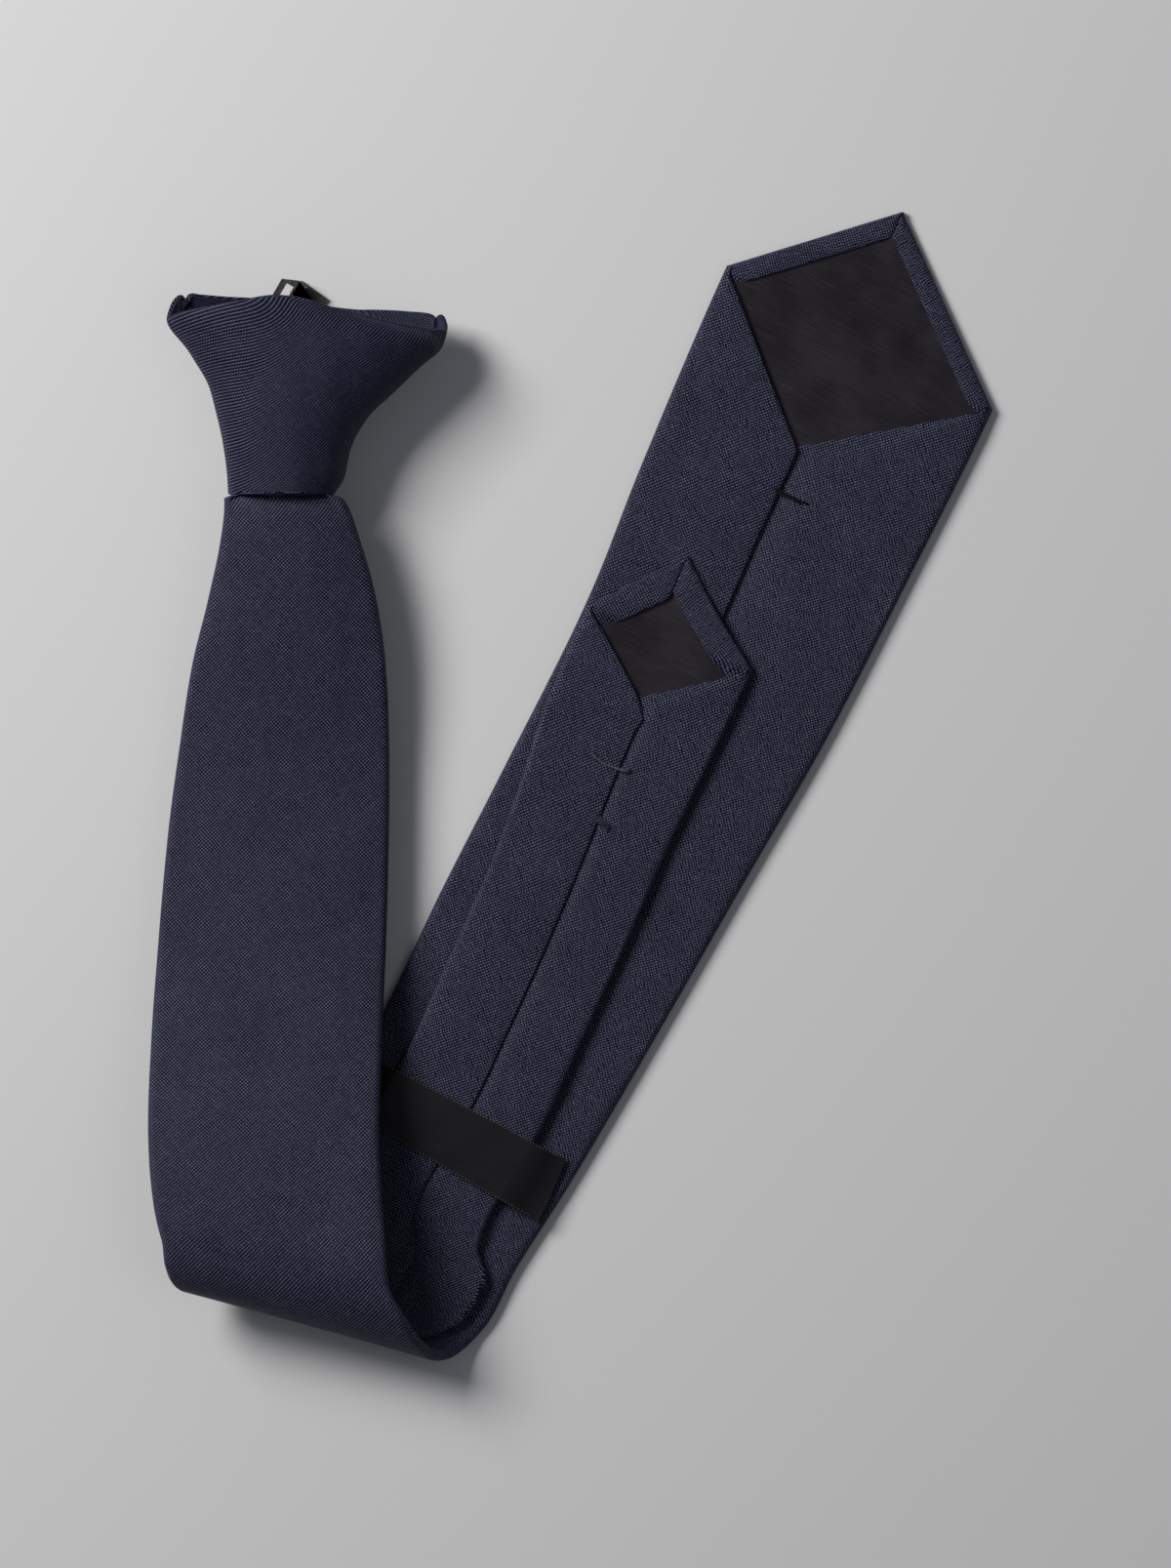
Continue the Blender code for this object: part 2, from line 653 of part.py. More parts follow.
def clip_base(steel):
    """Plate that is sewn to the knot's back, with a window and two ears for the pin."""
    left = -CLIP_SIDE
    right = left + CLIP_WIDTH
    under = CLIP_METAL + CLIP_GRIP
    top = under + CLIP_METAL
    outline = ((left, -CLIP_PLATE_LENGTH), (right, -CLIP_PLATE_LENGTH),
               (right, -CLIP_SHOULDER_BACK), (DIVIDER_ASIDE, -CLIP_SHOULDER_BACK),
               (DIVIDER_ASIDE, CLIP_AHEAD), (left, -CLIP_CORNER_BACK))
    base = prism("clip_base", outline, under, top, steel)
    window_right = DIVIDER_ASIDE - DIVIDER_WIDTH
    window = block("window", (window_right - WINDOW_WIDTH, -WINDOW_FAR, under - OVERCUT),
                   (window_right, -WINDOW_NEAR, top + OVERCUT), steel)
    combine(base, window, "DIFFERENCE")
    lever_left, lever_right = lever_sides()
    for low in (lever_left - GAP - CLIP_METAL, lever_right + GAP):
        ear = block("ear", (low, -PIN_BACK - EAR_WIDTH / 2, CLIP_METAL + GAP),
                    (low + CLIP_METAL, -PIN_BACK + EAR_WIDTH / 2, under + CLIP_METAL / 2), steel)
        combine(base, ear, "UNION")
    combine(base, pin_hole(), "DIFFERENCE")
    return base


def lever_sides():
    """Left and right side of the lever's plate."""
    return LEVER_ASIDE - LEVER_WIDTH / 2, LEVER_ASIDE + LEVER_WIDTH / 2


def pin_height():
    return CLIP_METAL + CLIP_GRIP * 0.44


def pin_hole():
    """Cutter for the pin's holes in ears and lugs."""
    left, right = lever_sides()
    over = 2 * CLIP_METAL + OVERCUT
    return rod("hole", left - over, right + over, -PIN_BACK, pin_height(),
               PIN_RADIUS + PIN_CLEARANCE, None)


def clip_lever(steel):
    """Lower plate with a tapered thumb tab above, lugs on the pin and a toothed jaw below."""
    left, right = lever_sides()
    lever = block("clip_lever", (left, -LEVER_LENGTH, 0.0), (right, -LEVER_BACK, CLIP_METAL), steel)
    tab_outline = [(left + x * LEVER_WIDTH, y * LEVER_WIDTH) for x, y in TAB_OUTLINE]
    combine(lever, prism("tab", tab_outline, TAB_LIFT, TAB_LIFT + CLIP_METAL, steel), "UNION")
    jaw_top = CLIP_METAL + CLIP_GRIP - GAP
    lip = block("lip", (left, -LEVER_LENGTH, CLIP_METAL / 2),
                (right, -LEVER_LENGTH + CLIP_METAL, jaw_top - LIP_DROP), steel)
    combine(lever, lip, "UNION")
    pitch = LEVER_WIDTH / TEETH
    for i in range(TEETH):
        low = left + pitch * (i + 0.15)
        tooth = block("tooth", (low, -LEVER_LENGTH, jaw_top - TOOTH_HEIGHT),
                      (low + 0.7 * pitch, -LEVER_LENGTH + CLIP_METAL, jaw_top), steel)
        combine(lever, tooth, "UNION")
    for low in (left, right - CLIP_METAL):
        lug = block("lug", (low, -PIN_BACK - LUG_WIDTH / 2, CLIP_METAL / 2),
                    (low + CLIP_METAL, -PIN_BACK + LUG_WIDTH / 2, pin_height() + LUG_WIDTH / 2), steel)
        combine(lever, lug, "UNION")
    combine(lever, pin_hole(), "DIFFERENCE")
    rivet = bmesh.new()
    lift = TAB_LIFT + CLIP_METAL
    bmesh.ops.create_cone(rivet, cap_ends=True, segments=12, radius1=RIVET_RADIUS,
                          radius2=RIVET_RADIUS * 0.6, depth=RIVET_HEIGHT,
                          matrix=Matrix.Translation((0.0, 0.0, lift + RIVET_HEIGHT * 0.3)))
    combine(lever, finish_mesh("rivet", rivet, steel), "UNION")
    return lever


def clip_pin(steel):
    """Pin through ears and lugs, with a flat head at each end."""
    left, right = lever_sides()
    low = left - GAP - CLIP_METAL - GAP
    high = right + GAP + CLIP_METAL + GAP
    pin = rod("clip_pin", low - PIN_HEAD / 2, high + PIN_HEAD / 2, -PIN_BACK, pin_height(),
              PIN_RADIUS, steel)
    for start, end in ((low - PIN_HEAD, low), (high, high + PIN_HEAD)):
        head = rod("head", start, end, -PIN_BACK, pin_height(), PIN_HEAD_RADIUS, steel)
        combine(pin, head, "UNION")
    return pin


def place_clip(pieces, lever):
    """Put the clip behind the knot, turned, with the lever's origin on the pin."""
    holder = bpy.data.objects.new("clip_frame", None)
    bpy.context.collection.objects.link(holder)
    holder.location = (CLIP_ASIDE, KNOT_HEIGHT + CLIP_RISE, 0.0)
    holder.rotation_euler = (0.0, 0.0, -math.radians(CLIP_TURN))
    on_pin = Vector((0.0, -PIN_BACK, pin_height()))
    lever.data.transform(Matrix.Translation(-on_pin))
    lever.location = on_pin
    for piece in pieces:
        piece.parent = holder
    return holder


def centre_on_origin(tops):
    """Move everything so that the whole tie is centred over the origin, its underside at 0."""
    bpy.context.view_layer.update()
    corners = []
    for thing in bpy.context.scene.objects:
        if thing.type == "MESH":
            corners += [thing.matrix_world @ v.co for v in thing.data.vertices]
    low = Vector(min(c[i] for c in corners) for i in range(3))
    high = Vector(max(c[i] for c in corners) for i in range(3))
    shift = Vector((-(low.x + high.x) / 2, -(low.y + high.y) / 2, -low.z))
    for thing in tops:
        thing.location = thing.location + shift
    bpy.context.view_layer.update()
    return shift


def build():
    clear_scene()
    navy = material("navy_cloth", (0.017, 0.019, 0.055), 0.75)
    lining = material("tipping_satin", (0.022, 0.019, 0.023), 0.45)
    woven = material("label_satin", (0.010, 0.009, 0.010), 0.5)
    steel = material("clip_steel", (0.10, 0.095, 0.085), 0.35, 1.0)

    ribbon = Ribbon()
    start = ribbon.station[0]

    def wide_outline(along):
        return 0.0, ribbon.read(along)[0][3]

    wide = Blade(ribbon, start, ribbon.corner, wide_outline, BLADE_THICKNESS, 0.0, BLADE_POINT,
                 BLADE_POINT_ASIDE, BLADE_FLAP, BLADE_HEM, BLADE_SEAM_ASIDE)
    tail_corner, tail_outline = tail_table(ribbon)
    tail = Blade(ribbon, start + TAIL_LATE, tail_corner, tail_outline, TAIL_THICKNESS,
                 BLADE_THICKNESS + GAP, TAIL_POINT, TAIL_POINT_ASIDE, TAIL_FLAP, TAIL_HEM,
                 TAIL_SEAM_ASIDE)

    tops = [
        wide.solid("wide_blade", navy),
        wide.tipping("wide_tipping", lining),
        tail.solid("tail_blade", navy),
        tail.tipping("tail_tipping", lining),
        keeper_label(ribbon, tail, woven),
        knot(navy),
    ]
    lever = clip_lever(steel)
    holder = place_clip((clip_base(steel), lever, clip_pin(steel)), lever)
    tops.append(holder)
    return ribbon, centre_on_origin(tops)


build()
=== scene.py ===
"""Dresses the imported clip-on tie: twill blades and knot, satin linings, woven keeper, steel clip.

Both blades are laid along the same centre path as the solids. A point of a blade is given by
how far along the path it is, how far aside of it, and how deep behind the blade's front face.
"""

import math

import bmesh
import bpy
import numpy as np
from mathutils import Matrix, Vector


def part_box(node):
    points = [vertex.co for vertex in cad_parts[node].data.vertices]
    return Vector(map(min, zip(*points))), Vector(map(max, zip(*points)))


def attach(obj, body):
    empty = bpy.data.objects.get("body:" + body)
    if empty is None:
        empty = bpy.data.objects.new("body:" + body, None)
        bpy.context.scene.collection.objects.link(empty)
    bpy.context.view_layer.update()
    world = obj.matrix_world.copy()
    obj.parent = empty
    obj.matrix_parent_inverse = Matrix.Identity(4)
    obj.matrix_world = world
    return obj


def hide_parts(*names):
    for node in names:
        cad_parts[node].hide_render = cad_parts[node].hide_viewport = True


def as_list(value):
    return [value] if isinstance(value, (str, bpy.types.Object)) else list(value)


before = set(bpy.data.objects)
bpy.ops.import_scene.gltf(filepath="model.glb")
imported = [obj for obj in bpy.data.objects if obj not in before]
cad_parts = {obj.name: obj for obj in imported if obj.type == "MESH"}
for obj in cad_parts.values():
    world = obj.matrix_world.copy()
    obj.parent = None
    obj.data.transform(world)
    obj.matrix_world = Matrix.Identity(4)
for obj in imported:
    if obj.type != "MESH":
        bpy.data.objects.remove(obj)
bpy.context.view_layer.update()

# Wide blade, in metres
BLADE_LENGTH = 0.522
BLADE_WIDTH = 0.0728
BLADE_THICKNESS = 0.0032        # the solid is 4.0 mm and leaves room for its lining
BLADE_CROWN = 0.0040            # what the crown column is a share of
BLADE_POINT = 0.0317
BLADE_POINT_ASIDE = -0.0032
BLADE_HEM = 0.0050
BLADE_SEAM_ASIDE = -0.0021

# Narrow tail
TAIL_WIDTH = 0.0425
TAIL_THICKNESS = 0.0025         # the solid is 3.3 mm
TAIL_SHORT = 0.0853
TAIL_POINT = 0.0194
TAIL_POINT_ASIDE = -0.0044
TAIL_HEM = 0.0072
TAIL_SEAM_ASIDE = 0.0016

TIPPING_RECESS = 0.0012
GAP = 0.0003
NEST = 0.0004

# Fold
FOLD_RADIUS = 0.0125
FOLD_TURN = 15.5
FOLD_HEIGHT = 2 * FOLD_RADIUS

# Keeper label
LABEL_LENGTH = 0.0550
LABEL_HEIGHT = 0.0172
LABEL_BACK = 0.0321
LABEL_SLANT = 0.065             # what the slanted right end takes off, as a share of the half
LABEL_TURN = (0.014, 0.066)     # turn of the upper edge, and what the lower edge adds to it
LABEL_THICKNESS = 0.0005

# Knot
KNOT_WIDTH = 0.0670
KNOT_HEIGHT = 0.0435
KNOT_DEPTH_TOP = 0.0219
KNOT_DEPTH_EXIT = 0.0165
KNOT_WALL = 0.0020
KNOT_BACK = 0.0051
KNOT_EXIT_HEIGHT = KNOT_BACK + KNOT_DEPTH_EXIT - KNOT_WALL - NEST

CLIP_BEVEL = 0.00024            # softened edges of the stamped steel

# Paths and outlines as in the solids: shares of the sizes above, turns in degrees
FRONT_LEG = (
    # down,    aside,    half,   knot,  fold,  crown, turn
    (-0.0230, -0.0016, 0.112,  1.00,  0.00,  0.62,  0.0),
    (-0.0110, -0.0016, 0.140,  1.00,  0.00,  0.62,  0.0),
    (0.0006,  -0.0016, 0.150,  1.00,  0.00,  0.62,  0.0),
    (0.0026,  -0.0012, 0.192,  1.00,  0.00,  0.62,  0.0),
    (0.0060,   0.0000, 0.202,  0.99,  0.00,  0.60,  0.0),
    (0.0234,   0.0023, 0.232,  0.95,  0.00,  0.55,  0.0),
    (0.0500,   0.0032, 0.278,  0.86,  0.00,  0.50,  0.5),
    (0.0815,   0.0016, 0.321,  0.72,  0.02,  0.40,  1.0),
    (0.1103,   0.0000, 0.342,  0.55,  0.07,  0.30,  2.0),
    (0.1585,  -0.0033, 0.365,  0.35,  0.20,  0.30,  2.0),
    (0.2066,  -0.0061, 0.376,  0.20,  0.36,  0.30,  2.0),
    (0.2548,  -0.0088, 0.381,  0.10,  0.57,  0.25,  2.5),
    (0.3030,  -0.0097, 0.384,  0.03,  0.82,  0.12,  5.0),
    (0.3309,  -0.0077, 0.387,  0.00,  0.95,  0.04,  8.0),
)
BACK_LEG = (
    # down,    aside,   half,   turn
    (0.3374,   0.0547, 0.398,  22.0),
    (0.2924,   0.0814, 0.404,  27.0),
    (0.2062,   0.1274, 0.430,  28.0),
    (0.1575,   0.1537, 0.439,  28.0),
    (0.0741,   0.1980, 0.459,  28.0),
    (0.0212,   0.2219, 0.479,  28.0),
    (-0.0714,  0.2647, 0.500,  28.5),
    (-0.1297,  0.2913, 0.500,  28.5),
)
FOLD_DOWN = 0.3672
FOLD_ASIDE = (0.0904, 0.1345)
FOLD_HALF = (0.384, 0.427, 0.406)
FOLD_TWIST = 4.0
FOLD_STATIONS = 7
TAIL_LINE = (
    # back, aside,   half
    (0.000, -0.266, 0.500),
    (0.065, -0.230, 0.492),
    (0.113, -0.174, 0.462),
    (0.176, -0.106, 0.445),
    (0.235, -0.070, 0.442),
    (0.300, -0.040, 0.440),
    (0.341, -0.045, 0.438),
    (0.368, -0.012, 0.442),
    (0.387, 0.095, 0.470),
    (0.420, 0.100, 0.470),
    (0.500, 0.035, 0.450),
    (0.700, 0.000, 0.420),
    (0.920, 0.000, 0.330),
    (0.960, 0.000, 0.180),
    (1.000, 0.000, 0.176),
)
KNOT_OUTLINE = (
    # rise,  left,   right
    (0.000, -0.207, 0.179),
    (0.086, -0.210, 0.210),
    (0.270, -0.225, 0.235),
    (0.465, -0.253, 0.298),
    (0.600, -0.277, 0.379),
    (0.768, -0.338, 0.481),
    (0.900, -0.389, 0.560),
    (1.000, -0.426, 0.577),
)
KNOT_EDGE_SHARE = 0.35
KNOT_FRONT_POWER = 2.2
KNOT_BACK_POWER = 3.6

# Cloth
THREAD_PITCH = 0.00062
CLOTH_EDGE = 0.00045            # radius of a folded edge
TUCK = 0.0030                   # how far a folded edge reaches back under itself
UNDERLAP = 0.0030               # how far the right flap runs on under the left at the seam
LINING_UNDER = 0.0016           # how far a lining reaches under flaps and hems
CORNER_DROP = 0.0007            # how far a side falls towards the corner, and on to the point
HEM_DROP = 0.0010               # how far a hem lies below the side
RIGHT_SINK = 0.0003             # how far the right flap lies below the left one
LAP_SINK = 0.0008               # how much deeper its free edge lies
SEAM_SINK = 0.0005              # how much deeper again where the seam is shut
EXIT_PINCH = 0.0016             # how far the front is drawn in where it leaves the knot


def even_slopes(places, values):
    """Slopes of a table's columns that never overshoot between two rows."""
    steps = np.diff(places)[:, None]
    rates = np.diff(values, axis=0) / steps
    slopes = np.zeros_like(values)
    slopes[0] = rates[0]
    slopes[-1] = rates[-1]
    same = rates[:-1] * rates[1:] > 0
    total = np.where(same, rates[:-1] + rates[1:], 1.0)
    slopes[1:-1] = np.where(same, 2 * rates[:-1] * rates[1:] / total, 0.0)
    return slopes


def round_slopes(places, values):
    """Slopes of a table's columns for a smooth path through its rows."""
    steps = np.diff(places)[:, None]
    rates = np.diff(values, axis=0) / steps
    slopes = np.empty_like(values)
    slopes[0] = rates[0]
    slopes[-1] = rates[-1]
    slopes[1:-1] = (rates[:-1] * steps[1:] + rates[1:] * steps[:-1]) / (steps[:-1] + steps[1:])
    return slopes


def read_table(places, values, slopes, wanted):
    """A table's columns, read smoothly at the wanted places."""
    wanted = np.atleast_1d(wanted)
    row = np.clip(np.searchsorted(places, wanted, side="right") - 1, 0, len(places) - 2)
    step = (places[row + 1] - places[row])[:, None]
    t = np.clip((wanted - places[row])[:, None] / step, 0.0, 1.0)
    start = (1 + 2 * t) * (1 - t) ** 2 * values[row] + t * (1 - t) ** 2 * step * slopes[row]
    end = t * t * (3 - 2 * t) * values[row + 1] + t * t * (t - 1) * step * slopes[row + 1]
    return start + end


def smooth(value, low, high):
    """0 below low, 1 above high and smooth between."""
    t = np.clip((value - low) / (high - low), 0.0, 1.0)
    return t * t * (3 - 2 * t)


def ripple(x, y, scale, seed, waves=7):
    """Soft noise of about -1 to 1, with bumps of roughly that scale."""
    draw = np.random.default_rng(seed)
    total = np.zeros(np.broadcast(x, y).shape)
    for _ in range(waves):
        heading = draw.uniform(0, 2 * math.pi)
        rate = 2 * math.pi / (scale * draw.uniform(0.7, 1.8))
        phase = draw.uniform(0, 2 * math.pi)
        total = total + np.sin(rate * (x * math.cos(heading) + y * math.sin(heading)) + phase)
    return total / math.sqrt(waves * 2)


class Ribbon:
    """The centre path of both blades, in the frame."""

    def __init__(self, shift):
        rows = [self.front_row(*row) for row in FRONT_LEG]
        first = len(rows)
        rows += [self.fold_row(i / (FOLD_STATIONS - 1)) for i in range(FOLD_STATIONS)]
        last = len(rows) - 1
        rows += [self.back_row(*row) for row in BACK_LEG]
        rows = np.array(rows)
        chord = np.linalg.norm(np.diff(rows[:, :3], axis=0), axis=1)
        places = np.concatenate([[0.0], np.cumsum(chord)])
        fine = np.linspace(0.0, places[-1], 3000)
        slopes = round_slopes(places, rows[:, :3])
        slopes[last:, 2] = 0.0
        path = read_table(places, rows[:, :3], slopes, fine)
        rest = read_table(places, rows[:, 3:], even_slopes(places, rows[:, 3:]), fine)
        moved = np.linalg.norm(np.diff(path, axis=0), axis=1)
        self.along = np.concatenate([[0.0], np.cumsum(moved)])
        self.path = path
        self.rest = rest
        self.shift = np.array(shift)
        station = np.interp(places, fine, self.along)
        self.start = station[0]
        self.exit = (station[2], station[4])
        self.fold_start = station[first]
        self.fold_end = station[last]
        self.corner = station[-2]
        self.end = station[-1]

    @staticmethod
    def front_row(down, aside, half, knot, fold, crown, turn):
        height = knot * KNOT_EXIT_HEIGHT + fold * FOLD_HEIGHT
        return (aside * BLADE_LENGTH, -down * BLADE_LENGTH, height,
                half * BLADE_WIDTH, crown * BLADE_CROWN, turn)

    @staticmethod
    def back_row(down, aside, half, turn):
        return (aside * BLADE_LENGTH, -down * BLADE_LENGTH, 0.0, half * BLADE_WIDTH, 0.0, turn)

    @staticmethod
    def fold_row(share):
        axis = math.radians(FOLD_TURN)
        angle = math.pi * share
        out = FOLD_DOWN * BLADE_LENGTH - FOLD_RADIUS * (1 - math.sin(angle))
        drift = BLADE_LENGTH * (FOLD_ASIDE[0] + (FOLD_ASIDE[1] - FOLD_ASIDE[0]) * share)
        ends = FOLD_HALF[0] + (FOLD_HALF[2] - FOLD_HALF[0]) * share
        bulge = FOLD_HALF[1] - (FOLD_HALF[0] + FOLD_HALF[2]) / 2
        return (drift * math.cos(axis) - out * math.sin(axis),
                -drift * math.sin(axis) - out * math.cos(axis),
                FOLD_RADIUS * (1 + math.cos(angle)),
                (ends + bulge * math.sin(angle)) * BLADE_WIDTH,
                0.0,
                FOLD_TURN - FOLD_TWIST * math.cos(angle))

    def columns(self, table, along):
        return np.stack([np.interp(along, self.along, c) for c in table.T], axis=-1)

    def half(self, along):
        return np.interp(along, self.along, self.rest[:, 0])

    def place(self, along, aside, depth):
        """Positions of many places on or behind the blade's front face."""
        along, aside, depth = np.broadcast_arrays(along, aside, depth)
        nudge = 0.0004
        centre = self.columns(self.path, along)
        rest = self.columns(self.rest, along)
        ahead = self.columns(self.path, np.minimum(along + nudge, self.end))
        before = self.columns(self.path, np.maximum(along - nudge, 0.0))
        forward = ahead - before
        turn = np.radians(rest[..., 2])
        across = np.stack([np.cos(turn), -np.sin(turn), np.zeros_like(turn)], axis=-1)
        behind = np.cross(across, forward)
        behind /= np.linalg.norm(behind, axis=-1, keepdims=True)
        droop = rest[..., 1] * (aside / rest[..., 0]) ** 2
        lift = (depth + droop)[..., None]
        return centre + across * aside[..., None] + behind * lift + self.shift


class Blade:
    """One blade's own outline and back, as functions of the place along the path."""

    def __init__(self, ribbon, start, corner, outline, thickness, front, point, tip_aside, hem,
                 seam_aside, left_edge, right_edge, skew):
        self.ribbon = ribbon
        self.start = start
        self.corner = corner
        self.outline = outline
        self.thickness = thickness
        self.front = front
        self.tip = corner + point
        self.point = point
        self.hem = hem
        self.seam_aside = seam_aside
        self.left_edge = np.array(left_edge)
        self.right_edge = np.array(right_edge)
        self.flap_start = corner - self.left_edge[0, 1]
        self.skew = skew
        middle, half = outline(np.array([corner]))
        self.middle = float(middle[0])
        self.half = float(half[0])
        self.tip_aside = self.middle + tip_aside

    def sides(self, along):
        """Left and right edge at many places."""
        middle, half = self.outline(np.minimum(along, self.corner))
        share = np.clip((along - self.corner) / self.point, 0.0, 1.0)
        left = middle - half
        right = middle + half
        return left + (self.tip_aside - left) * share, right + (self.tip_aside - right) * share

    def seam(self, along):
        middle, half = self.outline(np.minimum(along, self.corner))
        return middle + self.seam_aside * np.minimum(1.0, half / self.half)

    def flap_edges(self, along):
        """Free edges of the two flaps, from the shut seam out to the corners."""
        back = self.corner - along
        left = np.interp(-back, -self.left_edge[:, 1], self.left_edge[:, 0])
        right = np.interp(-back, -self.right_edge[:, 1], self.right_edge[:, 0])
        seam = self.seam(along)
        shut = smooth(back, self.right_edge[0, 1], self.right_edge[0, 1] + 0.010)
        under = seam - UNDERLAP
        right = np.where(back > self.right_edge[0, 1],
                         right - 0.0012 + (under - right + 0.0012) * shut, right)
        fade = smooth(back, self.left_edge[0, 1], self.left_edge[0, 1] + 0.004)
        return left + (seam - left) * fade, right

    def hem_edges(self, along):
        """Inner edges of the two hems."""
        past = (along - self.corner) / self.point
        left_run = self.tip_aside - (self.middle - self.half)
        right_run = (self.middle + self.half) - self.tip_aside
        left = self.middle - self.half + left_run * past
        left = left + self.hem * math.hypot(1, left_run / self.point)
        right = self.middle + self.half - right_run * past
        right = right - self.hem * math.hypot(1, right_run / self.point)
        return np.minimum(left, self.tip_aside), np.maximum(right, self.tip_aside)

    def opening(self, along):
        """Left and right edge of where the lining shows."""
        left_flap, right_flap = self.flap_edges(along)
        left_hem, right_hem = self.hem_edges(along)
        return np.maximum(left_flap, left_hem), np.minimum(right_flap, right_hem)

    def place(self, along, aside, depth):
        """Positions, with the corners' slight skew."""
        if self.skew:
            near = smooth(along, self.corner - 0.030, self.corner - 0.002)
            near = near * (1 - smooth(along, self.corner, self.tip))
            along = along + self.skew * near * (aside - self.middle) / self.half
        return self.ribbon.place(along, aside, depth + self.front)


def shown(name, mesh, finish):
    """A smooth object of a mesh, in the scene."""
    mesh.materials.append(finish)
    mesh.shade_smooth()
    made = bpy.data.objects.new(name, mesh)
    bpy.context.scene.collection.objects.link(made)
    return made


def grid_mesh(name, points, finish, weave):
    """A sheet of quads on a grid of points, rows by columns, with the weave's own UV map."""
    rows, columns = points.shape[:2]
    index = np.arange(rows * columns).reshape(rows, columns)
    quads = np.stack([index[:-1, :-1], index[:-1, 1:], index[1:, 1:], index[1:, :-1]], axis=-1)
    quads = quads.reshape(-1, 4)
    mesh = bpy.data.meshes.new(name)
    mesh.from_pydata(points.reshape(-1, 3).tolist(), [], quads.tolist())
    layer = mesh.uv_layers.new(name="weave")
    flat = weave.reshape(-1, 2)[quads.reshape(-1)]
    layer.data.foreach_set("uv", flat.astype(np.float32).ravel())
    return shown(name, mesh, finish)


def weld(thing, distance=0.00002):
    """Joins points that lie together and drops faces with no area."""
    mesh = bmesh.new()
    mesh.from_mesh(thing.data)
    bmesh.ops.remove_doubles(mesh, verts=mesh.verts[:], dist=distance)
    bmesh.ops.dissolve_degenerate(mesh, edges=mesh.edges[:], dist=0.000005)
    mesh.to_mesh(thing.data)
    mesh.free()
    thing.data.shade_smooth()
    return thing


def rows_between(start, end, marks, fine, coarse):
    """Row places with fine steps inside the marked stretches."""
    stops = sorted({start, end, *[m for pair in marks for m in pair if start < m < end]})
    places = []
    for low, high in zip(stops, stops[1:]):
        middle = (low + high) / 2
        close = any(a <= middle <= b for a, b in marks)
        count = max(1, round((high - low) / (fine if close else coarse)))
        places += [low + (high - low) * i / count for i in range(count)]
    return np.array(places + [end])


FLAP_COLUMNS = 26
ROLL_COLUMNS = 12
FRONT_COLUMNS = 40
PUFF = 0.00022


def evened(along, values, reach=0.055):
    """Values smoothed along the blade."""
    fine = np.arange(along[0], along[-1], 0.001)
    count = max(3, int(reach / 0.001))
    padded = np.pad(np.interp(fine, along, values), count, mode="edge")
    window = np.hanning(2 * count + 1)
    return np.interp(along, fine, np.convolve(padded, window / window.sum(), mode="valid"))


def cloth_columns(left, right, free_left, free_right, top_left, top_right, roll, edge, tucks,
                  parts):
    """Columns of a folded cloth from the left flap's tucked edge round to the right one's."""
    asides = []
    depths = []
    kinds = []

    def column(aside, depth, kind):
        asides.append(aside + 0 * left)
        depths.append(depth + 0 * left)
        kinds.append(kind)

    quarter = np.linspace(-math.pi / 2, math.pi / 2, 7)[:-1]
    steps = np.linspace(0, 1, FLAP_COLUMNS)[:-1]
    if "left" in parts:
        for t in (0.0, 0.5):
            column(free_left - tucks[0] * (1 - t) - edge, top_left - 2 * edge, 0)
        for angle in quarter:
            column(free_left - edge + edge * math.cos(angle),
                   top_left - edge + edge * math.sin(angle), 0)
        for t in steps:
            column(free_left - edge + (left + roll - free_left + edge) * t,
                   top_left + PUFF * math.sin(math.pi * t) ** 0.7, 1)
    if "front" in parts:
        for angle in np.linspace(0, math.pi, ROLL_COLUMNS + 1)[:-1]:
            column(left + roll - roll * math.sin(angle), top_left / 2 * (1 + math.cos(angle)), 2)
        for t in np.linspace(0, 1, FRONT_COLUMNS + 1)[:-1]:
            column(left + roll + (right - left - 2 * roll) * t, 0.0, 3)
        for angle in np.linspace(math.pi, 0, ROLL_COLUMNS + 1)[:-1]:
            aside = right - roll + roll * math.sin(angle)
            column(aside, top_right["side"] / 2 * (1 + math.cos(angle)), 4)
    elif "left" in parts:
        column(left + roll, top_left, 1)
    if "right" in parts:
        climb = top_right["side"] - top_right["inner"]
        for t in steps[::-1] if "front" not in parts else np.linspace(1, 0, FLAP_COLUMNS)[:-1]:
            level = top_right["inner"] + climb * smooth(t, 0.0, 0.3)
            column(free_right + edge + (right - roll - free_right - edge) * t,
                   level + PUFF * math.sin(math.pi * t) ** 0.7, 5)
        for angle in -quarter:
            column(free_right + edge - edge * math.cos(angle),
                   top_right["inner"] - edge + edge * math.sin(angle), 6)
        for t in (0.0, 0.5, 1.0):
            column(free_right + edge + tucks[1] * t, top_right["inner"] - 2 * edge, 6)
    return np.stack(asides, axis=1), np.stack(depths, axis=1), np.array(kinds)


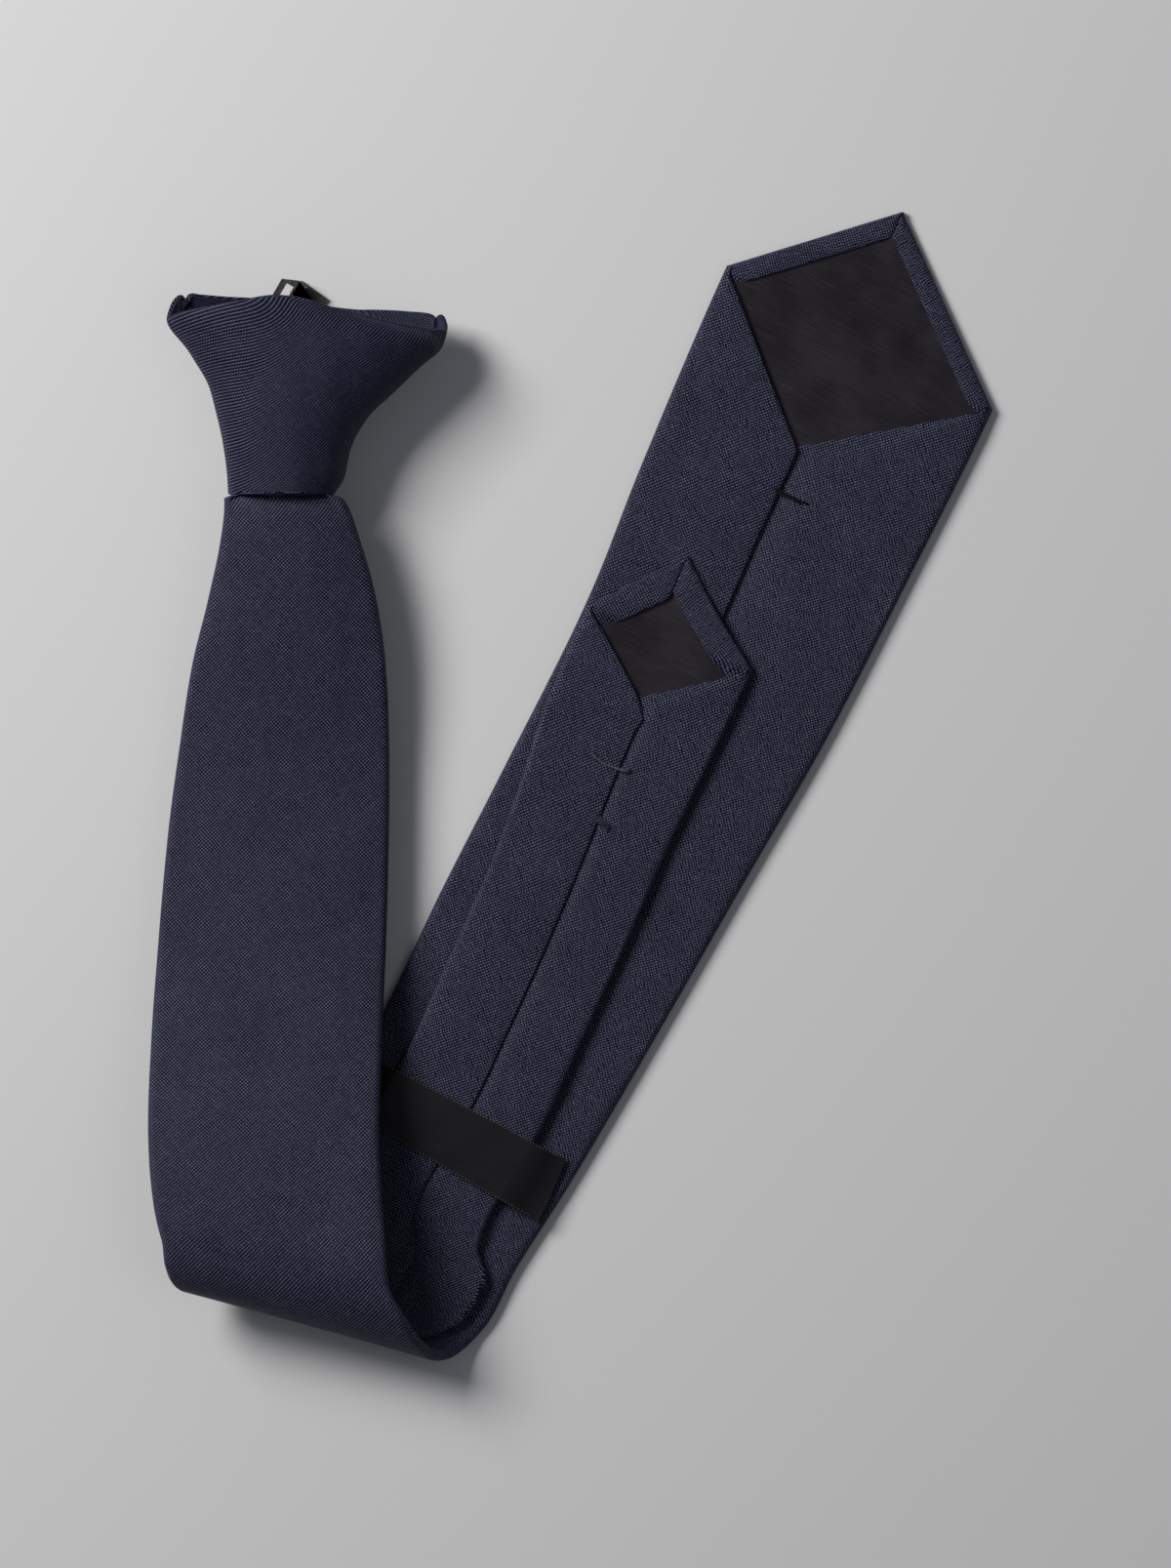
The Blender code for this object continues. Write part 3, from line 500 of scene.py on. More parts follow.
def hem_weave(blade, place, aside, depth, roll, kinds):
    """Cloth coordinates past the corners, where each hem mirrors the front across its edge."""
    direct = np.stack([aside - blade.middle, place], axis=-1)
    weave = direct.copy()
    for turned, rolled, side in (((0, 1), 2, -1), ((5, 6), 4, 1)):
        start = np.array([side * blade.half, blade.corner])
        run = np.array([blade.tip_aside - blade.middle, blade.tip]) - start
        run /= np.linalg.norm(run)
        out = side * np.array([run[1], -run[0]])
        away = direct - start
        mirrored = 2 * (away @ run)[..., None] * run - away + start
        # The cloth also goes round the hem's outer roll and down its free edge
        columns = np.flatnonzero(np.isin(kinds, turned))
        if side < 0:
            columns = columns[::-1]
        drops = np.abs(np.diff(depth[:, columns], axis=1))
        fallen = np.concatenate([np.zeros((len(depth), 1)), np.cumsum(drops, axis=1)], axis=1)
        around = roll[:, None] * (math.pi - 2 * abs(run[1]))
        mirrored = mirrored + around[..., None] * out
        weave[:, columns] = mirrored[:, columns] + fallen[..., None] * out
        rolls = np.flatnonzero(kinds == rolled)
        share = np.linspace(1, 0, len(rolls) + 2)[1:-1]
        if side > 0:
            share = share[::-1]
        share = share[None, :, None]
        weave[:, rolls] = mirrored[:, rolls] * share + direct[:, rolls] * (1 - share)
    return weave


def weave_map(along, aside, points, kinds):
    """Cloth coordinates: true across the front and round the sides, unsheared on the flaps."""
    travelled = np.linalg.norm(np.diff(points, axis=1), axis=2)
    across = np.concatenate([np.zeros((len(along), 1)), np.cumsum(travelled, axis=1)], axis=1)
    front = np.flatnonzero(kinds == 3)
    centre = front[len(front) // 2]
    across = across - across[:, centre:centre + 1]
    for roll_kind, flap_kinds, sign in ((2, (0, 1), -1), (4, (5, 6), 1)):
        rolls = np.flatnonzero(kinds == roll_kind)
        flaps = np.flatnonzero(np.isin(kinds, flap_kinds))
        bound = flaps[-1] if sign < 0 else flaps[0]
        total = evened(along, across[:, bound] + aside[:, bound])
        change = total - aside[:, bound] - across[:, bound]
        # Down the free edge it follows the cloth itself
        top = flaps[kinds[flaps] == (1 if sign < 0 else 5)]
        last = top[0] if sign < 0 else top[-1]
        shift_to = total - aside[:, last] - across[:, last]
        across[:, flaps] = across[:, flaps] + shift_to[:, None]
        across[:, top] = total[:, None] - aside[:, top]
        order = rolls[::-1] if sign < 0 else rolls
        for number, index in enumerate(order):
            across[:, index] += change * (number + 1) / (len(order) + 1)
    return np.stack([across, along[:, None] + 0 * across], axis=-1)


def blade_cloth(name, blade, finish, seed, hang_free, coarse=0.0016, fine=0.0008):
    """The outer cloth of one blade: front, rolled sides, flaps, and the hemmed point."""
    ribbon = blade.ribbon
    bend = (ribbon.fold_start - FOLD_RADIUS, ribbon.fold_end + FOLD_RADIUS)
    marks = (ribbon.exit, bend, (blade.flap_start - 0.004, blade.corner))
    body = rows_between(blade.start, blade.corner, marks, fine, coarse)
    point = rows_between(blade.corner, blade.tip, ((blade.corner, blade.tip),), fine, coarse)
    under = rows_between(blade.corner - 0.010, blade.corner, ((0.0, 1.0),), fine, fine)
    sheets = []
    for along, parts in ((body, "left front right"), (point, "left front right"),
                         (under, "left"), (under, "right")):
        left, right = blade.sides(along)
        width = right - left
        past = smooth(along, blade.corner, blade.tip)
        near = smooth(along, blade.corner - 0.006, blade.corner)
        if parts == "left front right" and along[0] == blade.start:
            free_left, free_right = blade.flap_edges(along)
            side = blade.thickness - CORNER_DROP * near
            back = blade.corner - along
            shut = smooth(back, blade.right_edge[0, 1] - 0.004, blade.right_edge[0, 1] + 0.004)
            top_right = {"side": side - RIGHT_SINK * (1 - near),
                         "inner": side - LAP_SINK - SEAM_SINK * shut}
        else:
            free_left, free_right = blade.hem_edges(along)
            down = smooth(blade.corner - along, 0.0, 0.003)
            side = blade.thickness - CORNER_DROP - HEM_DROP * down - CORNER_DROP * past
            top_right = {"side": side, "inner": side}
        roll = np.minimum(side / 2, width * 0.35)
        edge = np.minimum(CLOTH_EDGE, width * 0.04)
        tuck = np.minimum(TUCK, width * 0.08)
        free_left = np.clip(free_left, left + roll + edge, right - roll - 3 * edge)
        free_right = np.clip(free_right, left + roll + 3 * edge, right - roll - edge)
        if along[0] >= blade.corner - 0.0101:
            free_right = np.maximum(free_right, free_left + 0.0001)
        tucks = (np.clip(free_left - edge - left - roll, 0.0, tuck),
                 np.clip(right - roll - free_right - edge, 0.0, tuck))
        aside, depth, kinds = cloth_columns(left, right, free_left, free_right, side, top_right,
                                            roll, edge, tucks, parts)
        place = along[:, None] + 0 * aside
        # Cloth is never dead flat: low swells on the back, and on the front where it hangs free
        swell = ripple(aside, place, 0.030, seed) * 0.00013
        swell = swell + ripple(aside, place, 0.011, seed + 1) * 0.00004
        hang = 1 - smooth(place, ribbon.fold_start - 0.01, ribbon.fold_start + 0.02)
        on_front = (kinds == 3)[None, :]
        on_back = ((kinds == 1) | (kinds == 5))[None, :]
        depth = depth + np.where(on_front, swell * hang * hang_free, 0.0)
        depth = depth + np.where(on_back, swell * 0.8, 0.0)
        # Drawn in where it leaves the knot
        drawn = 1 - smooth(place, ribbon.exit[0] - 0.001, ribbon.exit[1] + 0.0025)
        depth = depth + drawn * EXIT_PINCH * hang_free * on_front
        points = blade.place(place, aside, depth)
        if parts == "left front right" and along[0] == blade.start:
            weave = weave_map(along, aside, points, kinds)
        else:
            weave = hem_weave(blade, place, aside, depth, roll, kinds)
        sheets.append((points, weave))
    made = [grid_mesh(name, points, finish, weave) for points, weave in sheets]
    return weld(joined(name, made))


def joined(name, things):
    """Several grids as one object, kept as separate sheets where they don't meet."""
    mesh = bmesh.new()
    for thing in things:
        mesh.from_mesh(thing.data)
    first = things[0]
    mesh.to_mesh(first.data)
    mesh.free()
    for thing in things[1:]:
        old = thing.data
        bpy.data.objects.remove(thing, do_unlink=True)
        bpy.data.meshes.remove(old)
    first.name = name
    return first


def tipping_cloth(name, blade, finish, seed, folds):
    """The lining between flaps and hems, reaching under them all round."""
    along = np.arange(blade.flap_start + 0.0005, blade.tip - 0.0045, 0.0007)
    left, right = blade.opening(along)
    outer_left, outer_right = blade.sides(along)
    left = np.maximum(left - LINING_UNDER, outer_left + 0.0012)
    right = np.minimum(right + LINING_UNDER, outer_right - 0.0012)
    right = np.maximum(right, left + 0.0002)
    t = np.linspace(0, 1, 72)[None, :]
    aside = left[:, None] + (right - left)[:, None] * t
    place = along[:, None] + 0 * aside
    floor = blade.thickness - TIPPING_RECESS - 0.0001
    past = np.maximum(place - blade.corner, 0.0) / blade.point
    slant = place * 0.8 + aside * 0.6
    free = np.sin(np.pi * t) ** 0.6
    wave = ripple(aside, place, 0.022, seed) * 0.00013
    wave = wave + ripple(slant, slant * 0.0, 0.014, seed + 3) * 0.00011
    depth = floor - 0.0006 * past + wave * folds * free
    points = blade.place(place, aside, depth)
    weave = np.stack([aside, place], axis=-1)
    return weld(grid_mesh(name, points, finish, weave))


# Materials


def node(tree, kind, **values):
    made = tree.nodes.new(kind)
    for key, value in values.items():
        if key in made.inputs:
            made.inputs[key].default_value = value
        else:
            setattr(made, key, value)
    return made


def math_node(tree, operation, first, second=None):
    made = tree.nodes.new("ShaderNodeMath")
    made.operation = operation
    for slot_number, value in enumerate((first, second)):
        if value is None:
            continue
        if isinstance(value, (int, float)):
            made.inputs[slot_number].default_value = value
        else:
            tree.links.new(value, made.inputs[slot_number])
    return made.outputs[0]


def shader_of(name, **values):
    made = bpy.data.materials.new(name)
    made.use_nodes = True
    shader = made.node_tree.nodes["Principled BSDF"]
    for key, value in values.items():
        shader.inputs[key.replace("_", " ")].default_value = value
    return made, made.node_tree, shader


def mixed(tree, base, *parts):
    """base, plus each value times its weight."""
    total = base
    for value, weight in parts:
        total = math_node(tree, "ADD", total, math_node(tree, "MULTIPLY", value, weight))
    return total


def surface(tree, shader, level, stops, strength, distance):
    """Colours a shader by a level and raises its surface by the same."""
    tree.links.new(ramp(tree, level, stops), shader.inputs["Base Color"])
    bump = node(tree, "ShaderNodeBump", Strength=strength, Distance=distance)
    tree.links.new(level, bump.inputs["Height"])
    tree.links.new(bump.outputs[0], shader.inputs["Normal"])


def ramp(tree, source, stops):
    made = tree.nodes.new("ShaderNodeValToRGB")
    band = made.color_ramp
    while len(band.elements) < len(stops):
        band.elements.new(0.5)
    for element, (place, colour) in zip(band.elements, stops):
        element.position = place
        element.color = (*colour, 1.0)
    tree.links.new(source, made.inputs[0])
    return made.outputs[0]


def noise(tree, vector, scale, detail=2.0, rough=0.5, stretch=None):
    made = tree.nodes.new("ShaderNodeTexNoise")
    made.inputs["Scale"].default_value = scale
    made.inputs["Detail"].default_value = detail
    made.inputs["Roughness"].default_value = rough
    if stretch is None:
        tree.links.new(vector, made.inputs["Vector"])
    else:
        turn = tree.nodes.new("ShaderNodeMapping")
        turn.inputs["Rotation"].default_value = (0, 0, stretch[0])
        turn.inputs["Scale"].default_value = stretch[1]
        tree.links.new(vector, turn.inputs["Vector"])
        tree.links.new(turn.outputs[0], made.inputs["Vector"])
    return made.outputs[0]


def diagonals(tree, uv, sway, level_from=None):
    """The weave's coordinates along its two diagonals, with the threads wandering a little.

    Left of level_from the rising ribs turn towards level, as on a knot's wing.
    """
    split = tree.nodes.new("ShaderNodeSeparateXYZ")
    tree.links.new(uv, split.inputs[0])
    u = math_node(tree, "ADD", split.outputs[0], sway)
    v = math_node(tree, "SUBTRACT", split.outputs[1], sway)
    half = math.sqrt(0.5)
    across = u
    if level_from is not None:
        past = tree.nodes.new("ShaderNodeMath")
        past.operation = "SMOOTH_MAX"
        tree.links.new(math_node(tree, "SUBTRACT", u, level_from), past.inputs[0])
        past.inputs[1].default_value = 0.0
        past.inputs[2].default_value = 0.009
        across = mixed(tree, math_node(tree, "MULTIPLY", u, 0.12), (past.outputs[0], 0.88))
    rising = math_node(tree, "MULTIPLY", math_node(tree, "ADD", across, v), half)
    falling = math_node(tree, "MULTIPLY", math_node(tree, "SUBTRACT", u, v), half)
    return rising, falling


def threads(tree, across, length, pitch, run):
    """Noise that differs from thread to thread and changes slowly along each."""
    join = tree.nodes.new("ShaderNodeCombineXYZ")
    tree.links.new(math_node(tree, "MULTIPLY", across, 0.55 / pitch), join.inputs[0])
    tree.links.new(math_node(tree, "MULTIPLY", length, 1.0 / run), join.inputs[1])
    return noise(tree, join.outputs[0], 1.0, 2.0, 0.6)


def twill(name, pitch, rib, dark, middle, light, painted_glint, calm, level_from=None):
    """Navy twill: two sets of diagonal threads, uneven yarn, a soft drift of tone and painted
    highlight on the thread crests.
    """
    made, tree, shader = shader_of(name, Roughness=0.55, Sheen_Weight=0.03, Sheen_Roughness=0.4,
                                   Sheen_Tint=(0.60, 0.66, 1.0, 1.0), Specular_IOR_Level=0.10)
    uv = node(tree, "ShaderNodeUVMap", uv_map="weave").outputs[0]
    split = tree.nodes.new("ShaderNodeSeparateXYZ")
    tree.links.new(uv, split.inputs[0])
    # The yarn wanders more on the lower leg and the back than on the upper leg
    loose = tree.nodes.new("ShaderNodeMapRange")
    loose.interpolation_type = "SMOOTHSTEP"
    loose.inputs["From Min"].default_value = 0.13
    loose.inputs["From Max"].default_value = 0.24
    loose.inputs["To Min"].default_value = calm * pitch
    loose.inputs["To Max"].default_value = 1.2 * pitch
    tree.links.new(split.outputs[1], loose.inputs["Value"])
    wander = math_node(tree, "SUBTRACT", noise(tree, uv, 620.0, 2.0, 0.6), 0.5)
    sway = math_node(tree, "MULTIPLY", wander, loose.outputs[0])
    rising, falling = diagonals(tree, uv, sway, level_from)
    turns = 2 * math.pi / pitch
    one = math_node(tree, "SINE", math_node(tree, "MULTIPLY", rising, turns))
    other = math_node(tree, "SINE", math_node(tree, "MULTIPLY", falling, turns))
    lattice = mixed(tree, math_node(tree, "MULTIPLY", one, rib), (other, 1 - rib))
    slubs = math_node(tree, "ADD", threads(tree, rising, falling, pitch, 0.0045),
                      threads(tree, falling, rising, pitch, 0.0045))
    slubs = math_node(tree, "SUBTRACT", slubs, 1.0)
    drift = math_node(tree, "SUBTRACT", noise(tree, uv, 60.0, 3.0, 0.55), 0.5)
    cells = math_node(tree, "SUBTRACT", noise(tree, uv, 1250.0, 1.0, 0.5), 0.5)
    level = mixed(tree, 0.5, (lattice, 0.74), (slubs, 0.26), (cells, 0.42), (drift, 0.16))
    # The two top stops are painted highlight on the thread crests, standing in for the yarn's gloss;
    # the specular level is kept low.
    stops = ((0.15, dark), (0.50, middle), (0.80, light), (1.0, painted_glint))
    surface(tree, shader, level, stops, 0.6, 0.00014)
    return made


def satin(name, colour, light, gloss, rib_pitch, clouds):
    """Fine lining satin: faint ribs one way, soft gloss."""
    made, tree, shader = shader_of(name, Roughness=gloss, Specular_IOR_Level=0.22)
    uv = node(tree, "ShaderNodeUVMap", uv_map="weave").outputs[0]
    split = tree.nodes.new("ShaderNodeSeparateXYZ")
    tree.links.new(uv, split.inputs[0])
    turns = 2 * math.pi / rib_pitch
    ribs = math_node(tree, "SINE", math_node(tree, "MULTIPLY", split.outputs[1], turns))
    grain = noise(tree, uv, 1.0, 2.0, 0.6, (0.0, (120.0, 2600.0, 1.0)))
    cloudy = math_node(tree, "SUBTRACT", noise(tree, uv, 70.0, 3.0), 0.5)
    level = math_node(tree, "ADD", mixed(tree, grain, (ribs, 0.16), (cloudy, clouds)), 0.175)
    surface(tree, shader, level, ((0.35, colour), (1.0, light)), 0.35, 0.00006)
    return made


def thread(name, colour, light):
    """Twisted sewing thread."""
    made, tree, shader = shader_of(name, Roughness=0.6, Specular_IOR_Level=0.12)
    where = node(tree, "ShaderNodeTexCoord").outputs["Object"]
    level = noise(tree, where, 2400.0, 2.0)
    surface(tree, shader, level, ((0.3, colour), (0.75, light)), 0.4, 0.00005)
    return made


def steel(name, dark, light, gloss):
    """Stamped, darkened steel with fine rolling marks and rubbed places."""
    made, tree, shader = shader_of(name, Metallic=1.0, Roughness=gloss)
    where = node(tree, "ShaderNodeTexCoord").outputs["Object"]
    rolled = noise(tree, where, 1.0, 3.0, 0.6, (math.radians(30), (4200.0, 300.0, 300.0)))
    worn = noise(tree, where, 520.0, 3.0)
    level = mixed(tree, math_node(tree, "MULTIPLY", rolled, 0.6), (worn, 0.5))
    surface(tree, shader, level, ((0.35, dark), (0.8, light)), 0.3, 0.00004)
    tree.links.new(mixed(tree, gloss - 0.12, (worn, 0.3)), shader.inputs["Roughness"])
    return made


# Pieces


# The knot's upper rim seen from the front, from the left tip over the front to the right corner
# and back behind: turn in degrees, then aside and rise in millimetres from the lower crease
KNOT_RIM = (
    (180, -28.4, 43.6), (175, -28.6, 42.3), (165, -27.4, 42.8), (150, -24.2, 43.7),
    (135, -18.8, 44.7), (120, -11.4, 46.2), (105, -4.0, 47.4), (92, 1.0, 47.2),
    (80, 6.0, 46.3), (65, 12.2, 44.4), (50, 18.6, 42.9), (35, 25.8, 41.2),
    (20, 32.2, 40.0), (8, 36.0, 39.3), (0, 38.6, 39.4), (-8, 38.9, 41.2),
    (-14, 38.0, 42.9), (-19, 36.7, 42.0), (-25, 35.8, 42.9), (-40, 29.8, 43.7),
    (-60, 22.3, 44.1), (-75, 16.8, 44.2), (-90, 6.4, 45.4), (-110, -1.9, 46.1),
    (-130, -8.9, 46.9), (-150, -16.3, 47.3), (-160, -21.2, 47.7), (-166, -23.7, 47.8),
    (-170, -24.6, 46.2), (-174, -26.0, 47.6), (-177, -27.4, 46.2), (-180, -28.4, 43.6),
)


def knot_cloth(finish, shift):
    """The ready-made knot as one skin of cloth: outer face, rolled rims and inner face."""
    outline = np.array(KNOT_OUTLINE)
    rise_slopes = even_slopes(outline[:, 0], outline[:, 1:])
    rim = np.array(KNOT_RIM)[::-1]
    rim_turn = rim[:, 0]
    rim_values = rim[:, 1:] / 1000
    rim_slopes = round_slopes(rim_turn, rim_values)
    sides = 280
    even = 2 * math.pi * np.arange(sides + 1) / sides
    # Closer together at the two corners
    angle = -math.pi / 2 + even - 0.3 * np.sin(2 * (even - math.pi / 2))
    across, up = np.cos(angle), np.sin(angle)
    turn = np.degrees(angle)
    turn = np.where(turn > 180, turn - 360, turn)
    rim_at = read_table(rim_turn, rim_values, rim_slopes, turn)
    rim_at[:, 1] -= 0.0007
    # Below the rim the cloth's own lines follow it without its small pleats
    window = np.hanning(61)
    padded = np.concatenate([rim_at[-31:-1, 1], rim_at[:, 1], rim_at[1:31, 1]])
    calm_rise = np.convolve(padded, window / window.sum(), mode="valid")

    def ring(rise, wall, round_off):
        left, right = read_table(outline[:, 0], outline[:, 1:], rise_slopes, rise)[0] * KNOT_WIDTH
        depth = KNOT_DEPTH_EXIT + (KNOT_DEPTH_TOP - KNOT_DEPTH_EXIT) * math.sin(rise * math.pi / 2)
        middle = (left + right) / 2
        half = (right - left) / 2 - wall
        edge = KNOT_BACK + depth * KNOT_EDGE_SHARE
        power = np.where(up > 0, KNOT_FRONT_POWER, KNOT_BACK_POWER)
        reach = np.where(up > 0, depth * (1 - KNOT_EDGE_SHARE), depth * KNOT_EDGE_SHARE)
        place = np.copysign(np.abs(across) ** (2 / power), across)
        lift = np.copysign(np.abs(up) ** (2 / power), up) * (reach - wall)
        share = float(smooth(rise, 0.76, 1.0))
        toward = np.sign(across) * np.minimum(1.0, np.abs(across) * 3)
        late = max(0.0, (rise - 0.76) / 0.24) ** 3
        x = (middle + half * place) * (1 - late) + (rim_at[:, 0] - wall * toward) * late
        y = rise * (calm_rise * (1 - share) + rim_at[:, 1] * share) + round_off
        return np.stack([x, y, edge + lift], axis=1)

    wall = 0.0013
    rim_round = wall / 2
    rings = []
    rises = np.concatenate([np.linspace(0.0, 0.6, 40)[:-1], np.linspace(0.6, 1.0, 44)])
    for rise in rises:
        rings.append(ring(rise, 0.0, 0.0))
    for bend in np.linspace(0, math.pi, 8)[1:-1]:
        rings.append(ring(1.0, rim_round * (1 - math.cos(bend)), rim_round * math.sin(bend)))
    for rise in rises[::-1]:
        rings.append(ring(rise, wall, 0.0))
    for bend in np.linspace(0, math.pi, 8)[1:-1]:
        rings.append(ring(0.0, wall - rim_round * (1 - math.cos(bend)), -rim_round * math.sin(bend)))
    rings.append(rings[0])
    points = np.stack(rings)
    # A few soft hollows where the cloth is drawn in towards the exit
    x = points[..., 0]
    y = points[..., 1]
    front = smooth(points[..., 2], KNOT_BACK + 0.010, KNOT_BACK + 0.016)
    points[..., 2] += ripple(x * 1.4, y * 0.5, 0.016, 11) * 0.00016 * front
    moved = np.linalg.norm(np.diff(points, axis=0), axis=2)
    down = np.concatenate([np.zeros((1, points.shape[1])), np.cumsum(moved, axis=0)])
    steps = np.linalg.norm(np.diff(points, axis=1), axis=2)
    wrap = np.concatenate([np.zeros((len(points), 1)), np.cumsum(steps, axis=1)], axis=1)
    centre = sides // 2
    wrap = wrap[:, centre:centre + 1] - wrap
    weave = np.stack([wrap, -down], axis=-1)
    return weld(grid_mesh("knot_cloth", points + np.array(shift), finish, weave))


def tubes(name, paths, radius, finish, sides=8):
    """Short threads in one mesh, each a closed tube along its own points."""
    verts = []
    faces = []
    for path in paths:
        path = np.array(path, float)
        ahead = np.gradient(path, axis=0)
        ahead /= np.linalg.norm(ahead, axis=1, keepdims=True)
        first = np.cross(ahead, (0.0, 0.0, 1.0))
        size = np.linalg.norm(first, axis=1, keepdims=True)
        first = np.where(size > 1e-6, first / np.maximum(size, 1e-9), (1.0, 0.0, 0.0))
        second = np.cross(ahead, first)
        base = len(verts)
        count = len(path)
        for i in range(count):
            taper = 0.55 if i in (0, count - 1) else 1.0
            for k in range(sides):
                turn = 2 * math.pi * k / sides
                verts.append(path[i] + (first[i] * math.cos(turn) + second[i] * math.sin(turn))
                             * radius * taper)
        for i in range(count - 1):
            for k in range(sides):
                j = (k + 1) % sides
                a = base + i * sides
                faces.append((a + k, a + j, a + sides + j, a + sides + k))
        faces.append([base + k for k in range(sides)][::-1])
        faces.append([base + (count - 1) * sides + k for k in range(sides)])
    mesh = bpy.data.meshes.new(name)
    mesh.from_pydata([tuple(v) for v in verts], [], faces)
    return shown(name, mesh, finish)


def label_lines(across, row):
    """Aside of a place on the label, and how far on it lies by the label's turn."""
    aside = np.where(across > 0, across * (1 - LABEL_SLANT * row), across)
    # The path still turns here, so the lower edge is laid parallel to the upper one
    return aside, (LABEL_TURN[0] + LABEL_TURN[1] * (1 - row)) * (LABEL_LENGTH / 2 - aside)


def label_cloth(ribbon, tail, finish):
    """The woven keeper: sewn flat at both ends and drawn over the tail, edges folded under."""
    start = ribbon.fold_end + LABEL_BACK
    half_length = LABEL_LENGTH / 2
    rows = np.linspace(0, 1, 24)
    columns = np.linspace(-1, 1, 150)
    place = start + LABEL_HEIGHT * rows[:, None] + 0 * columns[None, :]
    aside = columns[None, :] * half_length + 0 * rows[:, None]
    aside, turned = label_lines(aside, rows[:, None])
    place = place + turned
    left, right = tail.sides(place)
    reach = half_length - 0.0012

    def taut(at, low_side, high_side):
        """1 over the tail, then straight down to 0 at the label's sewn ends."""
        falls_left = np.clip((at + reach) / (low_side + reach), 0.0, 1.0)
        falls_right = np.clip((reach - at) / (reach - high_side), 0.0, 1.0)
        share = np.minimum(falls_left, falls_right)
        return share - 0.06 * np.sin(share * 2 * math.pi)

    over = taut(aside, left, right)
    low = BLADE_THICKNESS + 0.00035
    high = BLADE_THICKNESS + GAP + TAIL_THICKNESS + 0.00045
    depth = low + (high - low) * over + ripple(aside, place, 0.012, 21) * 0.00006
    depth = depth + 0.0001 * np.sin(rows[:, None] * math.pi) * over
    under = ribbon.place(place, aside, depth)
    top = ribbon.place(place, aside, depth + LABEL_THICKNESS)
    count = len(columns)
    verts = np.concatenate([top.reshape(-1, 3), under.reshape(-1, 3)])
    total = len(rows) * count
    faces = []
    for i in range(len(rows) - 1):
        for j in range(count - 1):
            a, b = i * count + j, i * count + j + 1
            c, d = b + count, a + count
            faces.append((a, b, c, d))
            faces.append((total + d, total + c, total + b, total + a))
    border = list(range(count))
    border += [i * count + count - 1 for i in range(1, len(rows))]
    border += [(len(rows) - 1) * count + j for j in range(count - 2, -1, -1)]
    border += [i * count for i in range(len(rows) - 2, 0, -1)]
    for a, b in zip(border, border[1:] + border[:1]):
        faces.append((b, a, total + a, total + b))
    mesh = bpy.data.meshes.new("label_cloth")
    mesh.from_pydata(verts.tolist(), [], faces)
    layer = mesh.uv_layers.new(name="weave")
    flat = np.tile(np.stack([aside, place], axis=-1).reshape(-1, 2), (2, 1))
    loops = np.zeros(len(mesh.loops), int)
    mesh.loops.foreach_get("vertex_index", loops)
    layer.data.foreach_set("uv", flat[loops].astype(np.float32).ravel())
    made = shown("label_cloth", mesh, finish)
    mesh.set_sharp_from_angle(angle=math.radians(50))

    def label_top(aside_at, along_at, lift=0.0):
        left_at, right_at = tail.sides(np.array([along_at]))
        deep = low + (high - low) * taut(aside_at, left_at, right_at) + LABEL_THICKNESS + lift
        return ribbon.place(np.array([along_at]), np.array([aside_at]), deep)[0]

    return made, start, label_top


def dressed_node(name, finish, edges, body, bevel):
    """A CAD node's shape with softened, brighter edges, standing in for it."""
    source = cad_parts[name]
    made = bpy.data.objects.new(name + "_worn", source.data.copy())
    bpy.context.scene.collection.objects.link(made)
    made.data.materials.clear()
    made.data.materials.append(finish)
    made.data.materials.append(edges)
    mesh = bmesh.new()
    mesh.from_mesh(made.data)
    bmesh.ops.remove_doubles(mesh, verts=mesh.verts[:], dist=0.00001)
    bmesh.ops.dissolve_limit(mesh, angle_limit=math.radians(1.0), verts=mesh.verts[:],
                             edges=mesh.edges[:])
    for face in mesh.faces:
        face.material_index = 0
    mesh.to_mesh(made.data)
    mesh.free()
    soften = made.modifiers.new("edges", "BEVEL")
    soften.width = bevel
    soften.segments = 2
    soften.limit_method = "ANGLE"
    soften.angle_limit = math.radians(40)
    soften.material = 1
    soften.harden_normals = False
    made.data.shade_smooth()
    made.data.set_sharp_from_angle(angle=math.radians(40))
    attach(made, body)
    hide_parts(name)
    return made


knot_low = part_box("knot")[0]
shift = (knot_low.x + 0.428 * KNOT_WIDTH, knot_low.y, 0.0)
ribbon = Ribbon(shift)

navy = twill("navy_twill", THREAD_PITCH, 0.5, (0.0004, 0.0005, 0.0048),
             (0.0050, 0.0053, 0.0200), (0.0400, 0.0420, 0.0870), (0.128, 0.133, 0.195), 0.30)
# The knot's twill has its own pitch, balance and wing ribs; its colours, much darker than the
# blades', are painted shade over the knot.
navy_knot = twill("navy_knot_twill", 0.00058, 0.70, (0.0002, 0.0002, 0.0034),
                  (0.0017, 0.0019, 0.0100), (0.0155, 0.0170, 0.0460), (0.088, 0.094, 0.165), 0.12,
                  -0.0080)
lining = satin("tipping_satin", (0.0060, 0.0045, 0.0070), (0.0250, 0.0205, 0.0270), 0.42, 0.0006,
               1.3)
woven = satin("label_satin", (0.0032, 0.0030, 0.0044), (0.0095, 0.0088, 0.0118), 0.45, 0.0005,
              0.35)
navy_thread = thread("navy_thread", (0.012, 0.012, 0.026), (0.050, 0.050, 0.085))
pale_thread = thread("pale_thread", (0.030, 0.031, 0.045), (0.105, 0.108, 0.135))
dark_thread = thread("dark_thread", (0.002, 0.002, 0.004), (0.010, 0.010, 0.016))
edge_thread = thread("edge_thread", (0.040, 0.036, 0.032), (0.15, 0.135, 0.115))
gunmetal = steel("clip_steel", (0.045, 0.044, 0.041), (0.150, 0.145, 0.135), 0.45)
# Brighter, glossier steel for the bevelled edges of the clip and for the pin.
bright = steel("clip_steel_bevelled", (0.34, 0.32, 0.29), (0.78, 0.75, 0.70), 0.42)


def wide_outline(along):
    return 0.0 * along, ribbon.half(along)


